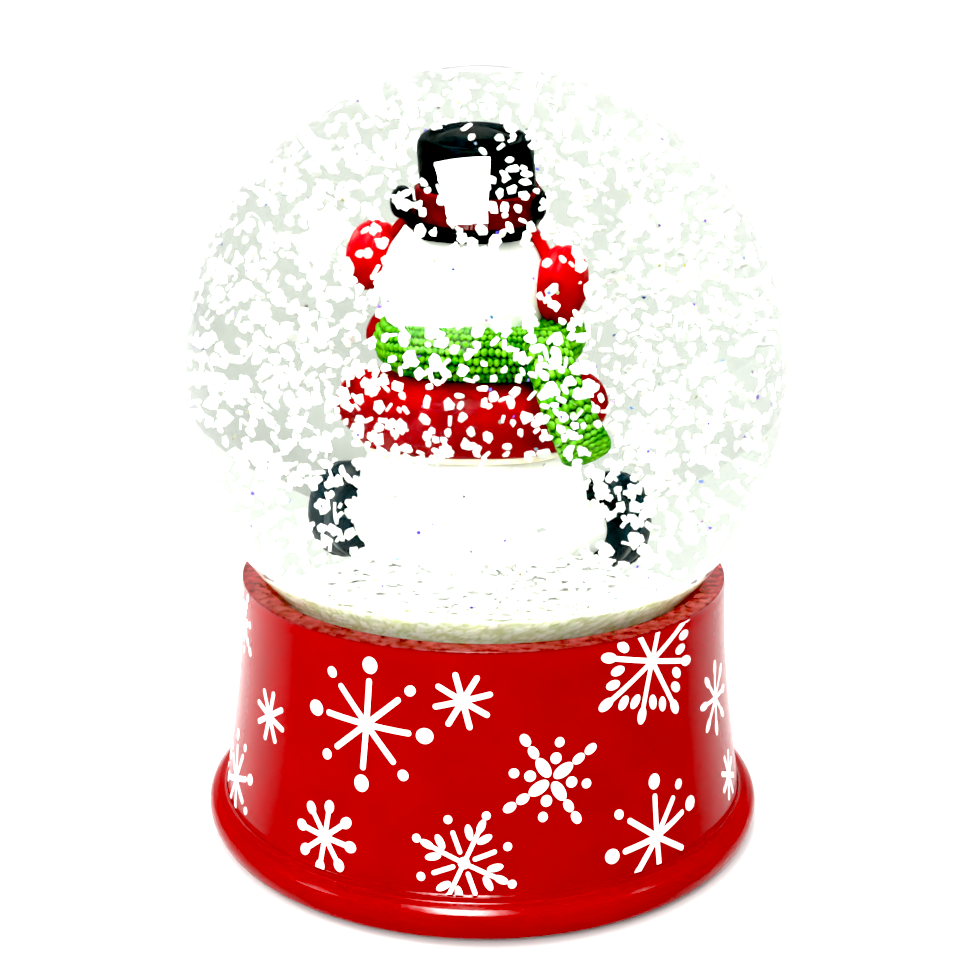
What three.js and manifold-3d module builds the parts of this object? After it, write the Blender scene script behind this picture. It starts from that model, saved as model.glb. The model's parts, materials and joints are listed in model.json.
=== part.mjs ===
// Musical snow globe: a water-filled glass ball on a flared, lacquered base.  A snowman in a top
// hat sits inside the ball, and a wind-up musical movement with its key is in the base.
// Millimetres, +Z up.  The origin is under the middle of the base, on the plane it stands on.
// -X is "left" and -Y is the side that the snowman turns its back to.

import * as THREE from 'three';
import { mergeVertices } from 'three/addons/utils/BufferGeometryUtils.js';
import Module from 'manifold-3d';

const wasm = await Module();
wasm.setup();

// ---------------------------------------------------------------- driving dimensions

const GAP = 0.3;
const WATER_GAP = 0.9;
const ROUND_SIDES = 32;

// Glass ball and its neck
const BALL_R = 50;
const BALL_Z = 77.7;
const GLASS_WALL = 2.2;
const NECK_R = 31;
const NECK_END_Z = 29.2;

// Base shell
const RIM_Z = 44.5;
const RIM_R = 41.6;
const JUNCTION_R = 45.7;
const JUNCTION_Z = 6.7;
const COVE_POWER = 1.8;
const LEDGE_R = 47.3;
const LEDGE_Z = 5.7;
const BEAD_R = 48.8;
const BEAD_Z = 3.4;
const FOOTING_R = 46.9;
const SHELL_BOTTOM_Z = 0.5;
const CAVITY_R = 40.5;
const CAVITY_TOP_Z = 24;
const CUP_R = 34.8;
const CUP_FLOOR_Z = 26;
const BOSS_ORBIT_R = 36;
const BOSS_R = 3;

// Bottom plate and feet
const PLATE_Z = 7.6;
const PLATE_T = 1.6;
const FOOT_ORBIT_R = 43.8;
const FOOT_R = 2.1;
const FOOT_H = 1.4;

// Stopper and snow mound
const STOPPER_TOP_Z = 38.2;
const MOUND_Z = 38.5;
const MOUND_TOP_Z = 53.4;
const WATER_LOW_Z = 46;

// Snowman
const FIGURE_X = -1.5;
const LEGS_X = 1.1;
const BODY_R = 14.6;
const COAT_HEM_Z = 69;
const COAT_HEM_R = 13.8;
const COAT_R = 16.2;
const COAT_TOP_Z = 79.2;
const HEAD_R = 10.8;
const HEAD_X = -0.8;
const HEAD_Z = 88.9;
const HEAD_TURN = -0.26;
const HEAD_ROLL = 0.1;
const SCARF_X = 0.9;
const SCARF_Z = 82.2;
const SCARF_RING_R = 9.9;
const SCARF_THICK_R = 3.4;
const HAT_X = -0.1;
const HAT_Z = 96.5;
const CROWN_X = 0.7;
const CROWN_R = 7.1;
const CROWN_H = 12;
const BRIM_R = 9.8;
const BRIM_T = 1.3;
const BRIM_ROLL = 3.3;

// Musical movement
const BED_Z = 9.5;
const BED_T = 1.5;
const KEY_X = -12;
const CROWN_TEETH = 36;
const CROWN_PITCH_R = 11.6;
const CROWN_PITCH_Z = 14;
const PINION_TEETH = 12;
const DRUM_R = 4.6;
const DRUM_FROM_X = 3.2;
const DRUM_TO_X = 20.8;
const DRUM_Z = CROWN_PITCH_Z + CROWN_PITCH_R * PINION_TEETH / CROWN_TEETH;
const NOTES = 18;
const TRAIN_MODULE = 0.4;
const DRUM_GEAR_TEETH = 24;
const IDLER_TEETH = 12;
const WORM_WHEEL_TEETH = 20;
const WORM_STARTS = 2;
const WORM_TURNS = 1.2;
const IDLER_DROP = 2.4;
const IDLER_SPAN = TRAIN_MODULE * (DRUM_GEAR_TEETH + IDLER_TEETH) / 2;
const IDLER_Y = Math.sqrt(IDLER_SPAN ** 2 - IDLER_DROP ** 2);
const IDLER_Z = DRUM_Z - IDLER_DROP;
const WORM_X = 26.5;
const WORM_DISTANCE = 5.2;
const BRIDGE_X = 31;

// ---------------------------------------------------------------- materials

function material(color, roughness, metalness = 0) {
  return new THREE.MeshStandardMaterial({ color, roughness, metalness });
}

const glass = material(0xe4efec, 0.03);
glass.transparent = true;
glass.opacity = 0.3;
const liquid = material(0xdfe9e4, 0.05);
liquid.transparent = true;
liquid.opacity = 0.25;
const redLacquer = material(0xb80c10, 0.12);
const redPaint = material(0xa8080c, 0.35);
const darkRedPaint = material(0x5c0a0c, 0.4);
const whitePaint = material(0xf4f2ea, 0.5);
const blackPaint = material(0x10151a, 0.35);
const greenPaint = material(0x3c9a18, 0.6);
const orangePaint = material(0xe0701a, 0.5);
const rubber = material(0x2a2a2c, 0.85);
const resin = material(0xd8cfa8, 0.5);
const blackPlastic = material(0x1b1b1d, 0.5);
const castZinc = material(0x9a9a98, 0.45, 0.9);
const steel = material(0xb8babd, 0.3, 1);
const brass = material(0xb08d3e, 0.32, 1);

// ---------------------------------------------------------------- shape helpers

// A closed profile of (radius, height) points, anticlockwise, turned about Z.
function turned(profile, segments) {
  const points = profile.map(([r, z]) => new THREE.Vector2(r, z));
  const first = points[0];
  const last = points[points.length - 1];
  if (first.x > 0 || last.x > 0) {
    points.push(first.clone());
  }
  return new THREE.LatheGeometry(points, segments).rotateX(Math.PI / 2);
}

// An arc of profile points about (cx, cz), from one angle to another in degrees.
function arc(cx, cz, radius, fromDeg, toDeg, steps) {
  const points = [];
  for (let i = 0; i <= steps; i += 1) {
    const angle = THREE.MathUtils.degToRad(fromDeg + (toDeg - fromDeg) * i / steps);
    points.push([cx + radius * Math.cos(angle), cz + radius * Math.sin(angle)]);
  }
  return points;
}

// A rod or disc along Z, centred on the origin.
function rod(radius, length, sides = 12, topRadius = radius) {
  return new THREE.CylinderGeometry(topRadius, radius, length, sides).rotateX(Math.PI / 2);
}

// The same along X.
function rodX(radius, length, sides = 12) {
  return rod(radius, length, sides).rotateY(Math.PI / 2);
}

function block(width, depth, height) {
  return new THREE.BoxGeometry(width, depth, height);
}

// An ellipsoid with its poles on Z.
function egg(rx, ry, rz, across = 18, down = 12) {
  return new THREE.SphereGeometry(1, across, down).rotateX(Math.PI / 2).scale(rx, ry, rz);
}

function solid(geometry) {
  const bare = geometry.index ? geometry.clone() : mergeVertices(geometry);
  bare.deleteAttribute('normal');
  bare.deleteAttribute('uv');
  const merged = mergeVertices(bare, 1e-4);
  const corners = merged.index.array;
  const kept = [];
  for (let i = 0; i < corners.length; i += 3) {
    const [a, b, c] = [corners[i], corners[i + 1], corners[i + 2]];
    if (a !== b && b !== c && c !== a) {
      kept.push(a, b, c);
    }
  }
  const vertProperties = new Float32Array(merged.attributes.position.array);
  return new wasm.Manifold(new wasm.Mesh({
    numProp: 3, vertProperties, triVerts: new Uint32Array(kept),
  }));
}

function geometryOf(body) {
  const { vertProperties, triVerts } = body.getMesh();
  const geometry = new THREE.BufferGeometry();
  geometry.setAttribute('position', new THREE.BufferAttribute(vertProperties, 3));
  geometry.setIndex(new THREE.BufferAttribute(triVerts, 1));
  geometry.computeVertexNormals();
  return geometry;
}

// Joins the geometries in the first list and cuts away those in the second.
function carved(joined, cut = []) {
  let body = solid(joined[0]);
  for (const extra of joined.slice(1)) {
    body = body.add(solid(extra));
  }
  for (const tool of cut) {
    body = body.subtract(solid(tool));
  }
  return geometryOf(body);
}

function piece(name, geometry, look, x = 0, y = 0, z = 0) {
  const mesh = new THREE.Mesh(geometry, look);
  mesh.name = name;
  mesh.position.set(x, y, z);
  return mesh;
}

function around(count, orbitR, startDeg = 0) {
  const spots = [];
  for (let i = 0; i < count; i += 1) {
    const angle = THREE.MathUtils.degToRad(startDeg + 360 * i / count);
    spots.push([orbitR * Math.cos(angle), orbitR * Math.sin(angle)]);
  }
  return spots;
}

// A slotted screw: head on top, its underside at z = 0, shank below.
function screwGeometry(headR, headH, shankR, shankL) {
  const slotWidth = headR * 0.3;
  const shape = turned([
    [0, -shankL], [shankR, -shankL], [shankR, 0], [headR, 0], [headR, headH], [0, headH],
  ], 8);
  const slot = block(headR * 3, slotWidth, headH).translate(0, 0, headH);
  return carved([shape], [slot]);
}

// ---------------------------------------------------------------- globe

function glassGlobe() {
  const innerR = BALL_R - GLASS_WALL;
  const neckInnerR = NECK_R - GLASS_WALL;
  const outerStart = THREE.MathUtils.radToDeg(-Math.acos(NECK_R / BALL_R));
  const innerEnd = THREE.MathUtils.radToDeg(-Math.acos(neckInnerR / innerR));
  // One skin: the outer sweep rises to the axis and the inner one comes back down from it.
  const outer = arc(0, BALL_Z, BALL_R, outerStart, 90, 10);
  const inner = arc(0, BALL_Z, innerR, 90, innerEnd, 10);
  outer[outer.length - 1][0] = 0;
  inner[0][0] = 0;
  const outside = turned([[0, NECK_END_Z], [NECK_R, NECK_END_Z], ...outer], ROUND_SIDES);
  const inside = turned(
    [[0, NECK_END_Z - 1], [neckInnerR, NECK_END_Z - 1], ...inner.reverse()], ROUND_SIDES,
  );
  return carved([outside], [inside]);
}

// The liquid fills the ball above the mound and closes round an envelope of the figure.
function waterBody() {
  const skinR = BALL_R - GLASS_WALL - WATER_GAP;
  const startDeg = THREE.MathUtils.radToDeg(Math.asin((WATER_LOW_Z - BALL_Z) / skinR));
  const outer = arc(0, BALL_Z, skinR, startDeg, 90, 8);
  outer[outer.length - 1][0] = 0;
  const envelope = [
    [0, 111], [12, 111], [14, 100], [20, 98], [20, 84], [24.6, 80], [25, 66], [29.4, 63],
    [29.4, WATER_LOW_Z],
  ];
  return turned([...outer, ...envelope], 18);
}

function stopper() {
  const plugR = NECK_R - GLASS_WALL - GAP;
  const flangeTop = NECK_END_Z - GAP;
  return turned([
    [0, CUP_FLOOR_Z + 0.6], [NECK_R + 0.4, CUP_FLOOR_Z + 0.6], [NECK_R + 0.4, flangeTop],
    [plugR, flangeTop], [plugR, STOPPER_TOP_Z - 1], [plugR - 1, STOPPER_TOP_Z],
    [0, STOPPER_TOP_Z],
  ], ROUND_SIDES);
}

function adhesiveRing() {
  const innerR = NECK_R + 0.8;
  const outerR = CUP_R - GAP;
  const lowZ = CUP_FLOOR_Z + GAP;
  return turned([[innerR, lowZ], [outerR, lowZ], [outerR, 35], [innerR, 36]], ROUND_SIDES);
}

function snowMound() {
  return turned([
    [0, MOUND_Z], [26.4, MOUND_Z], [27.6, 40], [27.8, 44.5], [27, 48], [24.6, 50.8],
    [20, 52.4], [14, MOUND_TOP_Z], [0, MOUND_TOP_Z],
  ], 28);
}

function globeGroup() {
  const group = new THREE.Group();
  group.add(
    piece('glass_globe', glassGlobe(), glass),
    piece('water', waterBody(), liquid),
    piece('rubber_stopper', stopper(), rubber),
    piece('globe_adhesive', adhesiveRing(), resin),
    piece('snow_mound', snowMound(), whitePaint),
  );
  return group;
}

// ---------------------------------------------------------------- snowman

function lowerBody() {
  return turned([
    [0, MOUND_TOP_Z + GAP], [13.6, MOUND_TOP_Z + GAP], [BODY_R, 57], [BODY_R + 0.2, 60.5],
    [BODY_R - 0.3, 64.5], [BODY_R - 2.6, COAT_HEM_Z - GAP], [0, COAT_HEM_Z - GAP],
  ], 24);
}

function headCutter() {
  return egg(HEAD_R + GAP, HEAD_R + GAP, HEAD_R + GAP).translate(HEAD_X, 0, HEAD_Z);
}

function coatProfile(grow) {
  return turned([
    [0, COAT_HEM_Z - grow], [COAT_HEM_R + grow, COAT_HEM_Z - grow], [15.4 + grow, 70.8],
    [COAT_R + grow - 0.3, 73], [14.4 + grow, 76.4], [11 + grow, 78.4 + grow],
    [7 + grow, COAT_TOP_Z + grow], [0, COAT_TOP_Z + grow],
  ], 20);
}

function sleeve(side) {
  const shoulder = new THREE.Vector3(side * 12.8, -0.5, 74.1);
  const wrist = new THREE.Vector3(side * 9.4, 13.8, 70.6);
  const arm = rod(4, shoulder.distanceTo(wrist), 10, 3.1);
  arm.applyQuaternion(new THREE.Quaternion().setFromUnitVectors(
    new THREE.Vector3(0, 0, 1), wrist.clone().sub(shoulder).normalize(),
  ));
  const middle = shoulder.clone().add(wrist).multiplyScalar(0.5);
  arm.translate(middle.x, middle.y, middle.z);
  const cap = egg(4.4, 4.4, 4.4, 10, 7).translate(shoulder.x, shoulder.y, shoulder.z);
  return carved([arm, cap], [coatProfile(GAP)]);
}

function mitten(side) {
  const palm = egg(3.2, 3, 3.4, 10, 6).translate(side * 8.6, 17.4, 69.4);
  const thumb = egg(1.1, 1.1, 1.9, 6, 4).translate(side * 6, 17.6, 71.2);
  return carved([palm, thumb]);
}

// Legs stick out in front of the seated body and end inside the boots' cuffs.
function leg(side) {
  const stub = rod(4.2, 9, 12).rotateX(-Math.PI / 2).rotateZ(-side * 0.42);
  stub.translate(side * 11.6, 10.2, 58.6);
  const seat = rod(BODY_R + 0.3 + GAP, 20, 24).translate(-LEGS_X, 0, 60);
  return carved([stub], [seat, ground()]);
}

// Everything below the top of the snow mound.
function ground() {
  return block(80, 80, 20).translate(0, 0, MOUND_TOP_Z + GAP - 10);
}

function boot(side) {
  const foot = egg(4.7, 3.3, 5.8, 12, 8).rotateY(side * 0.16).translate(side * 15.8, 15, 59.4);
  const cuff = rod(5, 4.6, 12).rotateX(-Math.PI / 2).rotateZ(-side * 0.42);
  cuff.translate(side * 14, 13, 58.7);
  const heel = egg(3.6, 3, 2.6, 8, 6).translate(side * 15.9, 15.4, 56);
  const legRoom = rod(4.2 + GAP, 9 + 2 * GAP, 12).rotateX(-Math.PI / 2).rotateZ(-side * 0.42);
  legRoom.translate(side * 11.6, 10.2, 58.6);
  return carved([foot, cuff, heel], [legRoom, ground()]);
}

function scarfWrap() {
  const ring = turned(arc(SCARF_RING_R, SCARF_Z, SCARF_THICK_R, -180, 135, 7), 18);
  ring.translate(SCARF_X, 0, 0);
  const muffRoom = muffShape(1, GAP).applyMatrix4(headTurn()).translate(HEAD_X, 0, HEAD_Z);
  return carved([ring], [headCutter(), coatProfile(GAP), muffRoom]);
}

// The loose end of the scarf hangs down the back of the coat, on the right.
function scarfTail() {
  const width = 6.6;
  const thick = 2;
  const section = new THREE.Shape();
  section.moveTo(-width / 2, -thick / 2);
  section.lineTo(width / 2, -thick / 2);
  section.lineTo(width / 2 - 0.5, thick / 2);
  section.lineTo(-width / 2 + 0.5, thick / 2);
  const path = new THREE.CatmullRomCurve3([
    new THREE.Vector3(10.9, -11.6, 80.6),
    new THREE.Vector3(13, -13.6, 76.6),
    new THREE.Vector3(14.9, -14.6, 72.8),
    new THREE.Vector3(16.1, -15, 70.4),
  ]);
  const strip = new THREE.ExtrudeGeometry(section, {
    steps: 8, bevelEnabled: false, extrudePath: path,
  });
  const ring = rod(SCARF_RING_R + SCARF_THICK_R + GAP, 20, 20).translate(SCARF_X, 0, 85);
  return carved([strip], [ring, coatProfile(GAP)]);
}

const EAR = { reach: 12.2, lift: 2.6, strapT: 0.5, strapWidth: 2.2, strapFromDeg: 27 };

function muffShape(side, grow) {
  return egg(3.3 + grow, 4.7 + grow, 5.2 + grow, 12, 8).translate(side * EAR.reach, 0, EAR.lift);
}

function muff(side) {
  return carved([muffShape(side, 0)], [egg(HEAD_R + GAP, HEAD_R + GAP, HEAD_R + GAP)]);
}

// The flat strap bent over the top of the head, from one ear to the other.
function strapShape(grow) {
  const innerR = HEAD_R + GAP - grow;
  const outerR = HEAD_R + GAP + EAR.strapT + grow;
  const from = THREE.MathUtils.degToRad(EAR.strapFromDeg);
  const outline = new THREE.Shape();
  outline.absarc(0, 0, outerR, from, Math.PI - from, false);
  outline.absarc(0, 0, innerR, Math.PI - from, from, true);
  const depth = EAR.strapWidth + 2 * grow;
  const strap = new THREE.ExtrudeGeometry(outline, {
    depth, bevelEnabled: false, curveSegments: 10,
  });
  return strap.rotateX(Math.PI / 2).translate(0, depth / 2, 0);
}

function earmuffBand() {
  return carved([strapShape(0)], [muffShape(-1, GAP), muffShape(1, GAP)]);
}

function nose() {
  return rod(1.5, 6, 8, 0.25).rotateX(-Math.PI / 2).translate(0, HEAD_R + GAP + 3, -0.4);
}

function eye() {
  return egg(1.05, 0.7, 1.05, 8, 5);
}

// The brim's left and right sides roll upwards.
function rolledBrim() {
  const brim = turned([
    [0, 0], [8, 0], [9, 0], [BRIM_R, 0.3], [BRIM_R, BRIM_T - 0.2], [9, BRIM_T],
    [8, BRIM_T], [0, BRIM_T],
  ], 24);
  const place = brim.attributes.position;
  for (let i = 0; i < place.count; i += 1) {
    const reach = Math.max(0, Math.abs(place.getX(i)) - 6.6) / (BRIM_R - 6.6);
    const radius = Math.hypot(place.getX(i), place.getY(i));
    const edge = THREE.MathUtils.smoothstep(radius, 7.4, BRIM_R);
    place.setZ(i, place.getZ(i) + BRIM_ROLL * reach * edge);
  }
  return brim;
}

function topHat() {
  const crown = turned([
    [0, 0.4], [CROWN_R, 0.4], [CROWN_R + 0.1, 5], [CROWN_R + 0.5, CROWN_H - 1.4],
    [CROWN_R + 0.1, CROWN_H - 0.4], [CROWN_R - 0.9, CROWN_H], [0, CROWN_H + 0.3],
  ], 20).translate(CROWN_X, 0, 0);
  const skull = headCutter().translate(-HAT_X, 0, -HAT_Z);
  return carved([rolledBrim(), crown], [skull, strapRoom()]);
}

// Room for the earmuffs' strap, seen from the middle of the brim.
function strapRoom() {
  const strap = strapShape(GAP).applyMatrix4(headTurn());
  return strap.translate(HEAD_X - HAT_X, 0, HEAD_Z - HAT_Z);
}

function hatBand() {
  const innerR = CROWN_R + 0.1 + GAP;
  const ring = turned([
    [innerR, BRIM_T + 0.9], [innerR + 0.7, BRIM_T + 0.9], [innerR + 0.7, BRIM_T + 3.9],
    [innerR, BRIM_T + 3.9],
  ], 20).translate(CROWN_X, 0, 0);
  return carved([ring], [rolledBrim().translate(0, 0, GAP), strapRoom()]);
}

function headTurn() {
  return new THREE.Matrix4().makeRotationFromEuler(new THREE.Euler(0, HEAD_ROLL, HEAD_TURN));
}

function headGroup() {
  const group = new THREE.Group();
  group.position.set(HEAD_X, 0, HEAD_Z);
  group.rotation.set(0, HEAD_ROLL, HEAD_TURN);
  const eyeDepth = HEAD_R + GAP + 0.35;
  group.add(
    piece('head', egg(HEAD_R, HEAD_R, HEAD_R), whitePaint),
    piece('earmuff_left', muff(-1), redPaint),
    piece('earmuff_right', muff(1), redPaint),
    piece('earmuff_band', earmuffBand(), redPaint),
    piece('nose', nose(), orangePaint),
    piece('eye_left', eye(), blackPaint, -3.4, eyeDepth - 0.8, 2.6),
    piece('eye_right', eye(), blackPaint, 3.4, eyeDepth - 0.8, 2.6),
  );
  return group;
}

function hatGroup() {
  const group = new THREE.Group();
  group.position.set(HAT_X, 0, HAT_Z);
  group.add(
    piece('top_hat', topHat(), blackPaint),
    piece('hat_band', hatBand(), darkRedPaint),
  );
  return group;
}

function snowmanGroup() {
  const group = new THREE.Group();
  group.position.x = FIGURE_X;
  group.add(
    piece('lower_body', lowerBody(), whitePaint),
    piece('coat', carved([coatProfile(0)], [headCutter()]), redPaint),
    piece('scarf_wrap', scarfWrap(), greenPaint),
    piece('scarf_tail', scarfTail(), greenPaint),
    headGroup(),
    hatGroup(),
  );
  for (const [word, side] of [['left', -1], ['right', 1]]) {
    group.add(
      piece(`sleeve_${word}`, sleeve(side), redPaint),
      piece(`mitten_${word}`, mitten(side), blackPaint),
      piece(`leg_${word}`, leg(side), whitePaint, LEGS_X),
      piece(`boot_${word}`, boot(side), blackPaint, LEGS_X),
    );
  }
  return group;
}

// ---------------------------------------------------------------- base

// Outer wall of the base: nearly upright at the rim, flaring to the ledge.
function coveRadius(z) {
  const down = (RIM_Z - z) / (RIM_Z - JUNCTION_Z);
  return RIM_R + (JUNCTION_R - RIM_R) * down ** COVE_POWER;
}

function baseShell() {
  const lipR = Math.sqrt(BALL_R ** 2 - (BALL_Z - RIM_Z) ** 2) + 0.36;
  const wall = [];
  const wallSteps = 6;
  for (let i = 0; i <= wallSteps; i += 1) {
    const z = JUNCTION_Z + (RIM_Z - 0.4 - JUNCTION_Z) * i / wallSteps;
    wall.push([coveRadius(z), z]);
  }
  const bead = [
    [FOOTING_R, SHELL_BOTTOM_Z], [48, 1.2], [48.6, 2.2], [BEAD_R, BEAD_Z], [48.4, 4.7],
    [LEDGE_R, LEDGE_Z],
  ];
  const body = turned([
    [0, CAVITY_TOP_Z], [CAVITY_R - 1.5, CAVITY_TOP_Z], [CAVITY_R, CAVITY_TOP_Z - 1.5],
    [CAVITY_R, SHELL_BOTTOM_Z], ...bead, ...wall, [RIM_R - 0.4, RIM_Z], [lipR, RIM_Z],
    [lipR, RIM_Z - 0.9], [CUP_R, RIM_Z - 4.2], [CUP_R, CUP_FLOOR_Z], [0, CUP_FLOOR_Z],
  ], ROUND_SIDES);
  const bossL = CAVITY_TOP_Z + 1 - (PLATE_Z + PLATE_T + GAP);
  const bossMidZ = PLATE_Z + PLATE_T + GAP + bossL / 2;
  const bosses = around(4, BOSS_ORBIT_R, 45).map(([x, y]) => (
    rod(BOSS_R, bossL, 10).translate(x, y, bossMidZ)
  ));
  const bores = around(4, BOSS_ORBIT_R, 45).map(([x, y]) => (
    rod(1.5, 16, 8).translate(x, y, PLATE_Z + PLATE_T + 4)
  ));
  const pockets = around(4, FOOT_ORBIT_R, 0).map(([x, y]) => (
    rod(FOOT_R + GAP, 2.4, 12).translate(x, y, 0.6)
  ));
  return carved([body, ...bosses], [...bores, ...pockets]);
}

function basePlate() {
  const disc = rod(CAVITY_R - 0.4, PLATE_T, ROUND_SIDES).translate(0, 0, PLATE_Z + PLATE_T / 2);
  const keyHole = rod(2.4, 6, 12).translate(KEY_X, 0, PLATE_Z);
  const screwHoles = around(4, BOSS_ORBIT_R, 45).concat(movementScrewSpots()).map(([x, y]) => (
    rod(1.45, 6, 8).translate(x, y, PLATE_Z)
  ));
  return carved([disc], [keyHole, ...screwHoles]);
}

function baseGroup() {
  const group = new THREE.Group();
  group.add(
    piece('base_shell', baseShell(), redLacquer),
    piece('base_plate', basePlate(), blackPlastic),
  );
  around(4, BOSS_ORBIT_R, 45).forEach(([x, y], i) => {
    const screw = piece(`base_screw_${i + 1}`, screwGeometry(2.2, 1.1, 1.1, 9), steel);
    screw.rotation.x = Math.PI;
    screw.position.set(x, y, PLATE_Z - 0.1);
    group.add(screw);
  });
  around(4, FOOT_ORBIT_R, 0).forEach(([x, y], i) => {
    const foot = rod(FOOT_R, FOOT_H, 12).translate(0, 0, FOOT_H / 2);
    group.add(piece(`foot_${i + 1}`, foot, rubber, x, y, 0));
  });
  return group;
}

// ---------------------------------------------------------------- musical movement

function movementScrewSpots() {
  return [[-24, -16], [-24, 12.5], [28, -16]];
}

function barrelPostSpots() {
  return around(3, 15.2, 60).map(([x, y]) => [x + KEY_X, y]);
}

function combScrewSpots() {
  return [[6.5, -18], [17.5, -18]];
}

// Straight-flanked teeth with backlash, as the outline of a spur wheel.
function wheelOutline(teeth, pitchR, addendum, dedendum, halfRoot, halfTip, phase) {
  const outline = new THREE.Shape();
  const pitch = 2 * Math.PI / teeth;
  for (let i = 0; i < teeth; i += 1) {
    const middle = phase + i * pitch;
    const corners = [
      [pitchR - dedendum, -halfRoot], [pitchR + addendum, -halfTip],
      [pitchR + addendum, halfTip], [pitchR - dedendum, halfRoot],
    ];
    for (const [radius, share] of corners) {
      const angle = middle + share * pitch;
      const x = radius * Math.cos(angle);
      const y = radius * Math.sin(angle);
      if (i === 0 && share === -halfRoot) {
        outline.moveTo(x, y);
      } else {
        outline.lineTo(x, y);
      }
    }
  }
  return outline;
}

// A toothed wheel on an axle along X, centred at x = 0.  Angles run from +Y towards +Z.
function wheelX(outline, width) {
  const wheel = new THREE.ExtrudeGeometry(outline, { depth: width, bevelEnabled: false });
  wheel.translate(0, 0, -width / 2);
  return wheel.applyMatrix4(new THREE.Matrix4().makeBasis(
    new THREE.Vector3(0, 1, 0), new THREE.Vector3(0, 0, 1), new THREE.Vector3(1, 0, 0),
  ));
}

function bedplate() {
  const topZ = BED_Z + BED_T;
  const plate = block(60.4, 38, BED_T).translate(2.2, -2, BED_Z + BED_T / 2);
  const posts = barrelPostSpots().map(([x, y]) => (
    rod(1.9, 9.4, 8).translate(x, y, topZ + 4.6)
  ));
  const drumPosts = [2, 25].map((x) => block(1.2, 5, 9.6).translate(x, 0, topZ + 4.7));
  const idlerPost = block(1.2, 2.6, 5.8).translate(20.4, IDLER_Y, topZ + 2.8);
  const combSeat = block(18, 5, 6.2).translate(12, -18, topZ + 3);
  const cuts = [
    rod(2.2, 9, 12).translate(KEY_X, 0, BED_Z),
    rodX(1.1, 5, 8).translate(2, 0, DRUM_Z),
    rodX(1.1, 5, 8).translate(25, 0, DRUM_Z),
    rodX(0.8, 5, 8).translate(20.4, IDLER_Y, IDLER_Z),
    ...barrelPostSpots().map(([x, y]) => rod(1, 6, 8).translate(x, y, topZ + 8.5)),
    ...combScrewSpots().map(([x, y]) => rod(1, 6, 8).translate(x, y, topZ + 5)),
    ...movementScrewSpots().map(([x, y]) => rod(1.2, 6, 8).translate(x, y, BED_Z)),
  ];
  return carved([plate, ...posts, ...drumPosts, idlerPost, combSeat], cuts);
}

// The spring housing, a cup open towards the wheel under it, held by three ears.
function springBarrel() {
  const topZ = 22.1;
  const cup = turned([
    [9.2, 13.7], [9.8, 13.7], [9.8, topZ - 0.4], [9.4, topZ], [2.2, topZ], [2.2, topZ - 0.8],
    [9.2, topZ - 0.8],
  ], 20);
  const ears = barrelPostSpots().map(([x, y]) => {
    const ear = block(8.6, 3.6, 1.2).translate(12.9, 0, topZ - 0.6);
    return ear.rotateZ(Math.atan2(y, x - KEY_X));
  });
  const holes = barrelPostSpots().map(([x, y]) => (
    rod(1.1, 5, 8).translate(x - KEY_X, y, topZ)
  ));
  return carved([cup, ...ears], holes);
}

// A flat spiral of spring strip between the arbor and the housing.
function mainspring() {
  const turns = 3;
  const fromR = 3;
  const toR = 8.8;
  const stripT = 0.4;
  const steps = 12 * turns;
  const edge = (offset) => {
    const points = [];
    for (let i = 0; i <= steps; i += 1) {
      const radius = fromR + (toR - fromR) * i / steps + offset;
      const angle = 2 * Math.PI * turns * i / steps;
      points.push(new THREE.Vector2(radius * Math.cos(angle), radius * Math.sin(angle)));
    }
    return points;
  };
  const outline = new THREE.Shape([...edge(stripT / 2), ...edge(-stripT / 2).reverse()]);
  return new THREE.ExtrudeGeometry(outline, { depth: 6.4, bevelEnabled: false });
}

function crownWheel() {
  const discTop = CROWN_PITCH_Z - 0.8;
  const disc = turned([
    [2.1, BED_Z + BED_T + 0.4], [12.6, BED_Z + BED_T + 0.4], [12.6, discTop], [2.1, discTop],
  ], 36);
  const pitch = 2 * Math.PI * CROWN_PITCH_R / CROWN_TEETH;
  const tooth = new THREE.Shape();
  tooth.moveTo(-0.28 * pitch, -0.3);
  tooth.lineTo(0.28 * pitch, -0.3);
  tooth.lineTo(0.11 * pitch, 1.35);
  tooth.lineTo(-0.11 * pitch, 1.35);
  const teeth = [];
  for (let i = 0; i < CROWN_TEETH; i += 1) {
    const prism = new THREE.ExtrudeGeometry(tooth, { depth: 1.8, bevelEnabled: false });
    prism.rotateX(Math.PI / 2).rotateZ(Math.PI / 2);
    prism.translate(CROWN_PITCH_R - 0.9, 0, discTop);
    teeth.push(prism.rotateZ((i + 0.5) * 2 * Math.PI / CROWN_TEETH));
  }
  return carved([disc, ...teeth]);
}

function windingArbor() {
  return turned([
    [0, 3.4], [1.6, 3.4], [1.6, 22.3], [1.2, 22.7], [0, 22.7],
  ], 10);
}

// A butterfly key: two flat wings on a hub that turns the arbor.
function windingKey() {
  const hub = rod(3.1, 4.4, 12).translate(0, 0, 5);
  const wingOutline = new THREE.Shape();
  wingOutline.moveTo(2, 2.4);
  wingOutline.lineTo(5, 2.2);
  wingOutline.absarc(8.3, 4, 2.6, -Math.PI * 0.75, Math.PI * 0.75, false);
  wingOutline.lineTo(5, 5.8);
  wingOutline.lineTo(2, 5.8);
  const wings = [0, Math.PI].map((turn) => {
    const wing = new THREE.ExtrudeGeometry(wingOutline, {
      depth: 1.8, bevelEnabled: false, curveSegments: 6,
    });
    return wing.rotateX(Math.PI / 2).translate(0, 0.9, 0).rotateZ(turn);
  });
  const bore = rod(1.6 + GAP, 8, 10).translate(0, 0, 7.1);
  return carved([hub, ...wings], [bore]);
}

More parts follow.
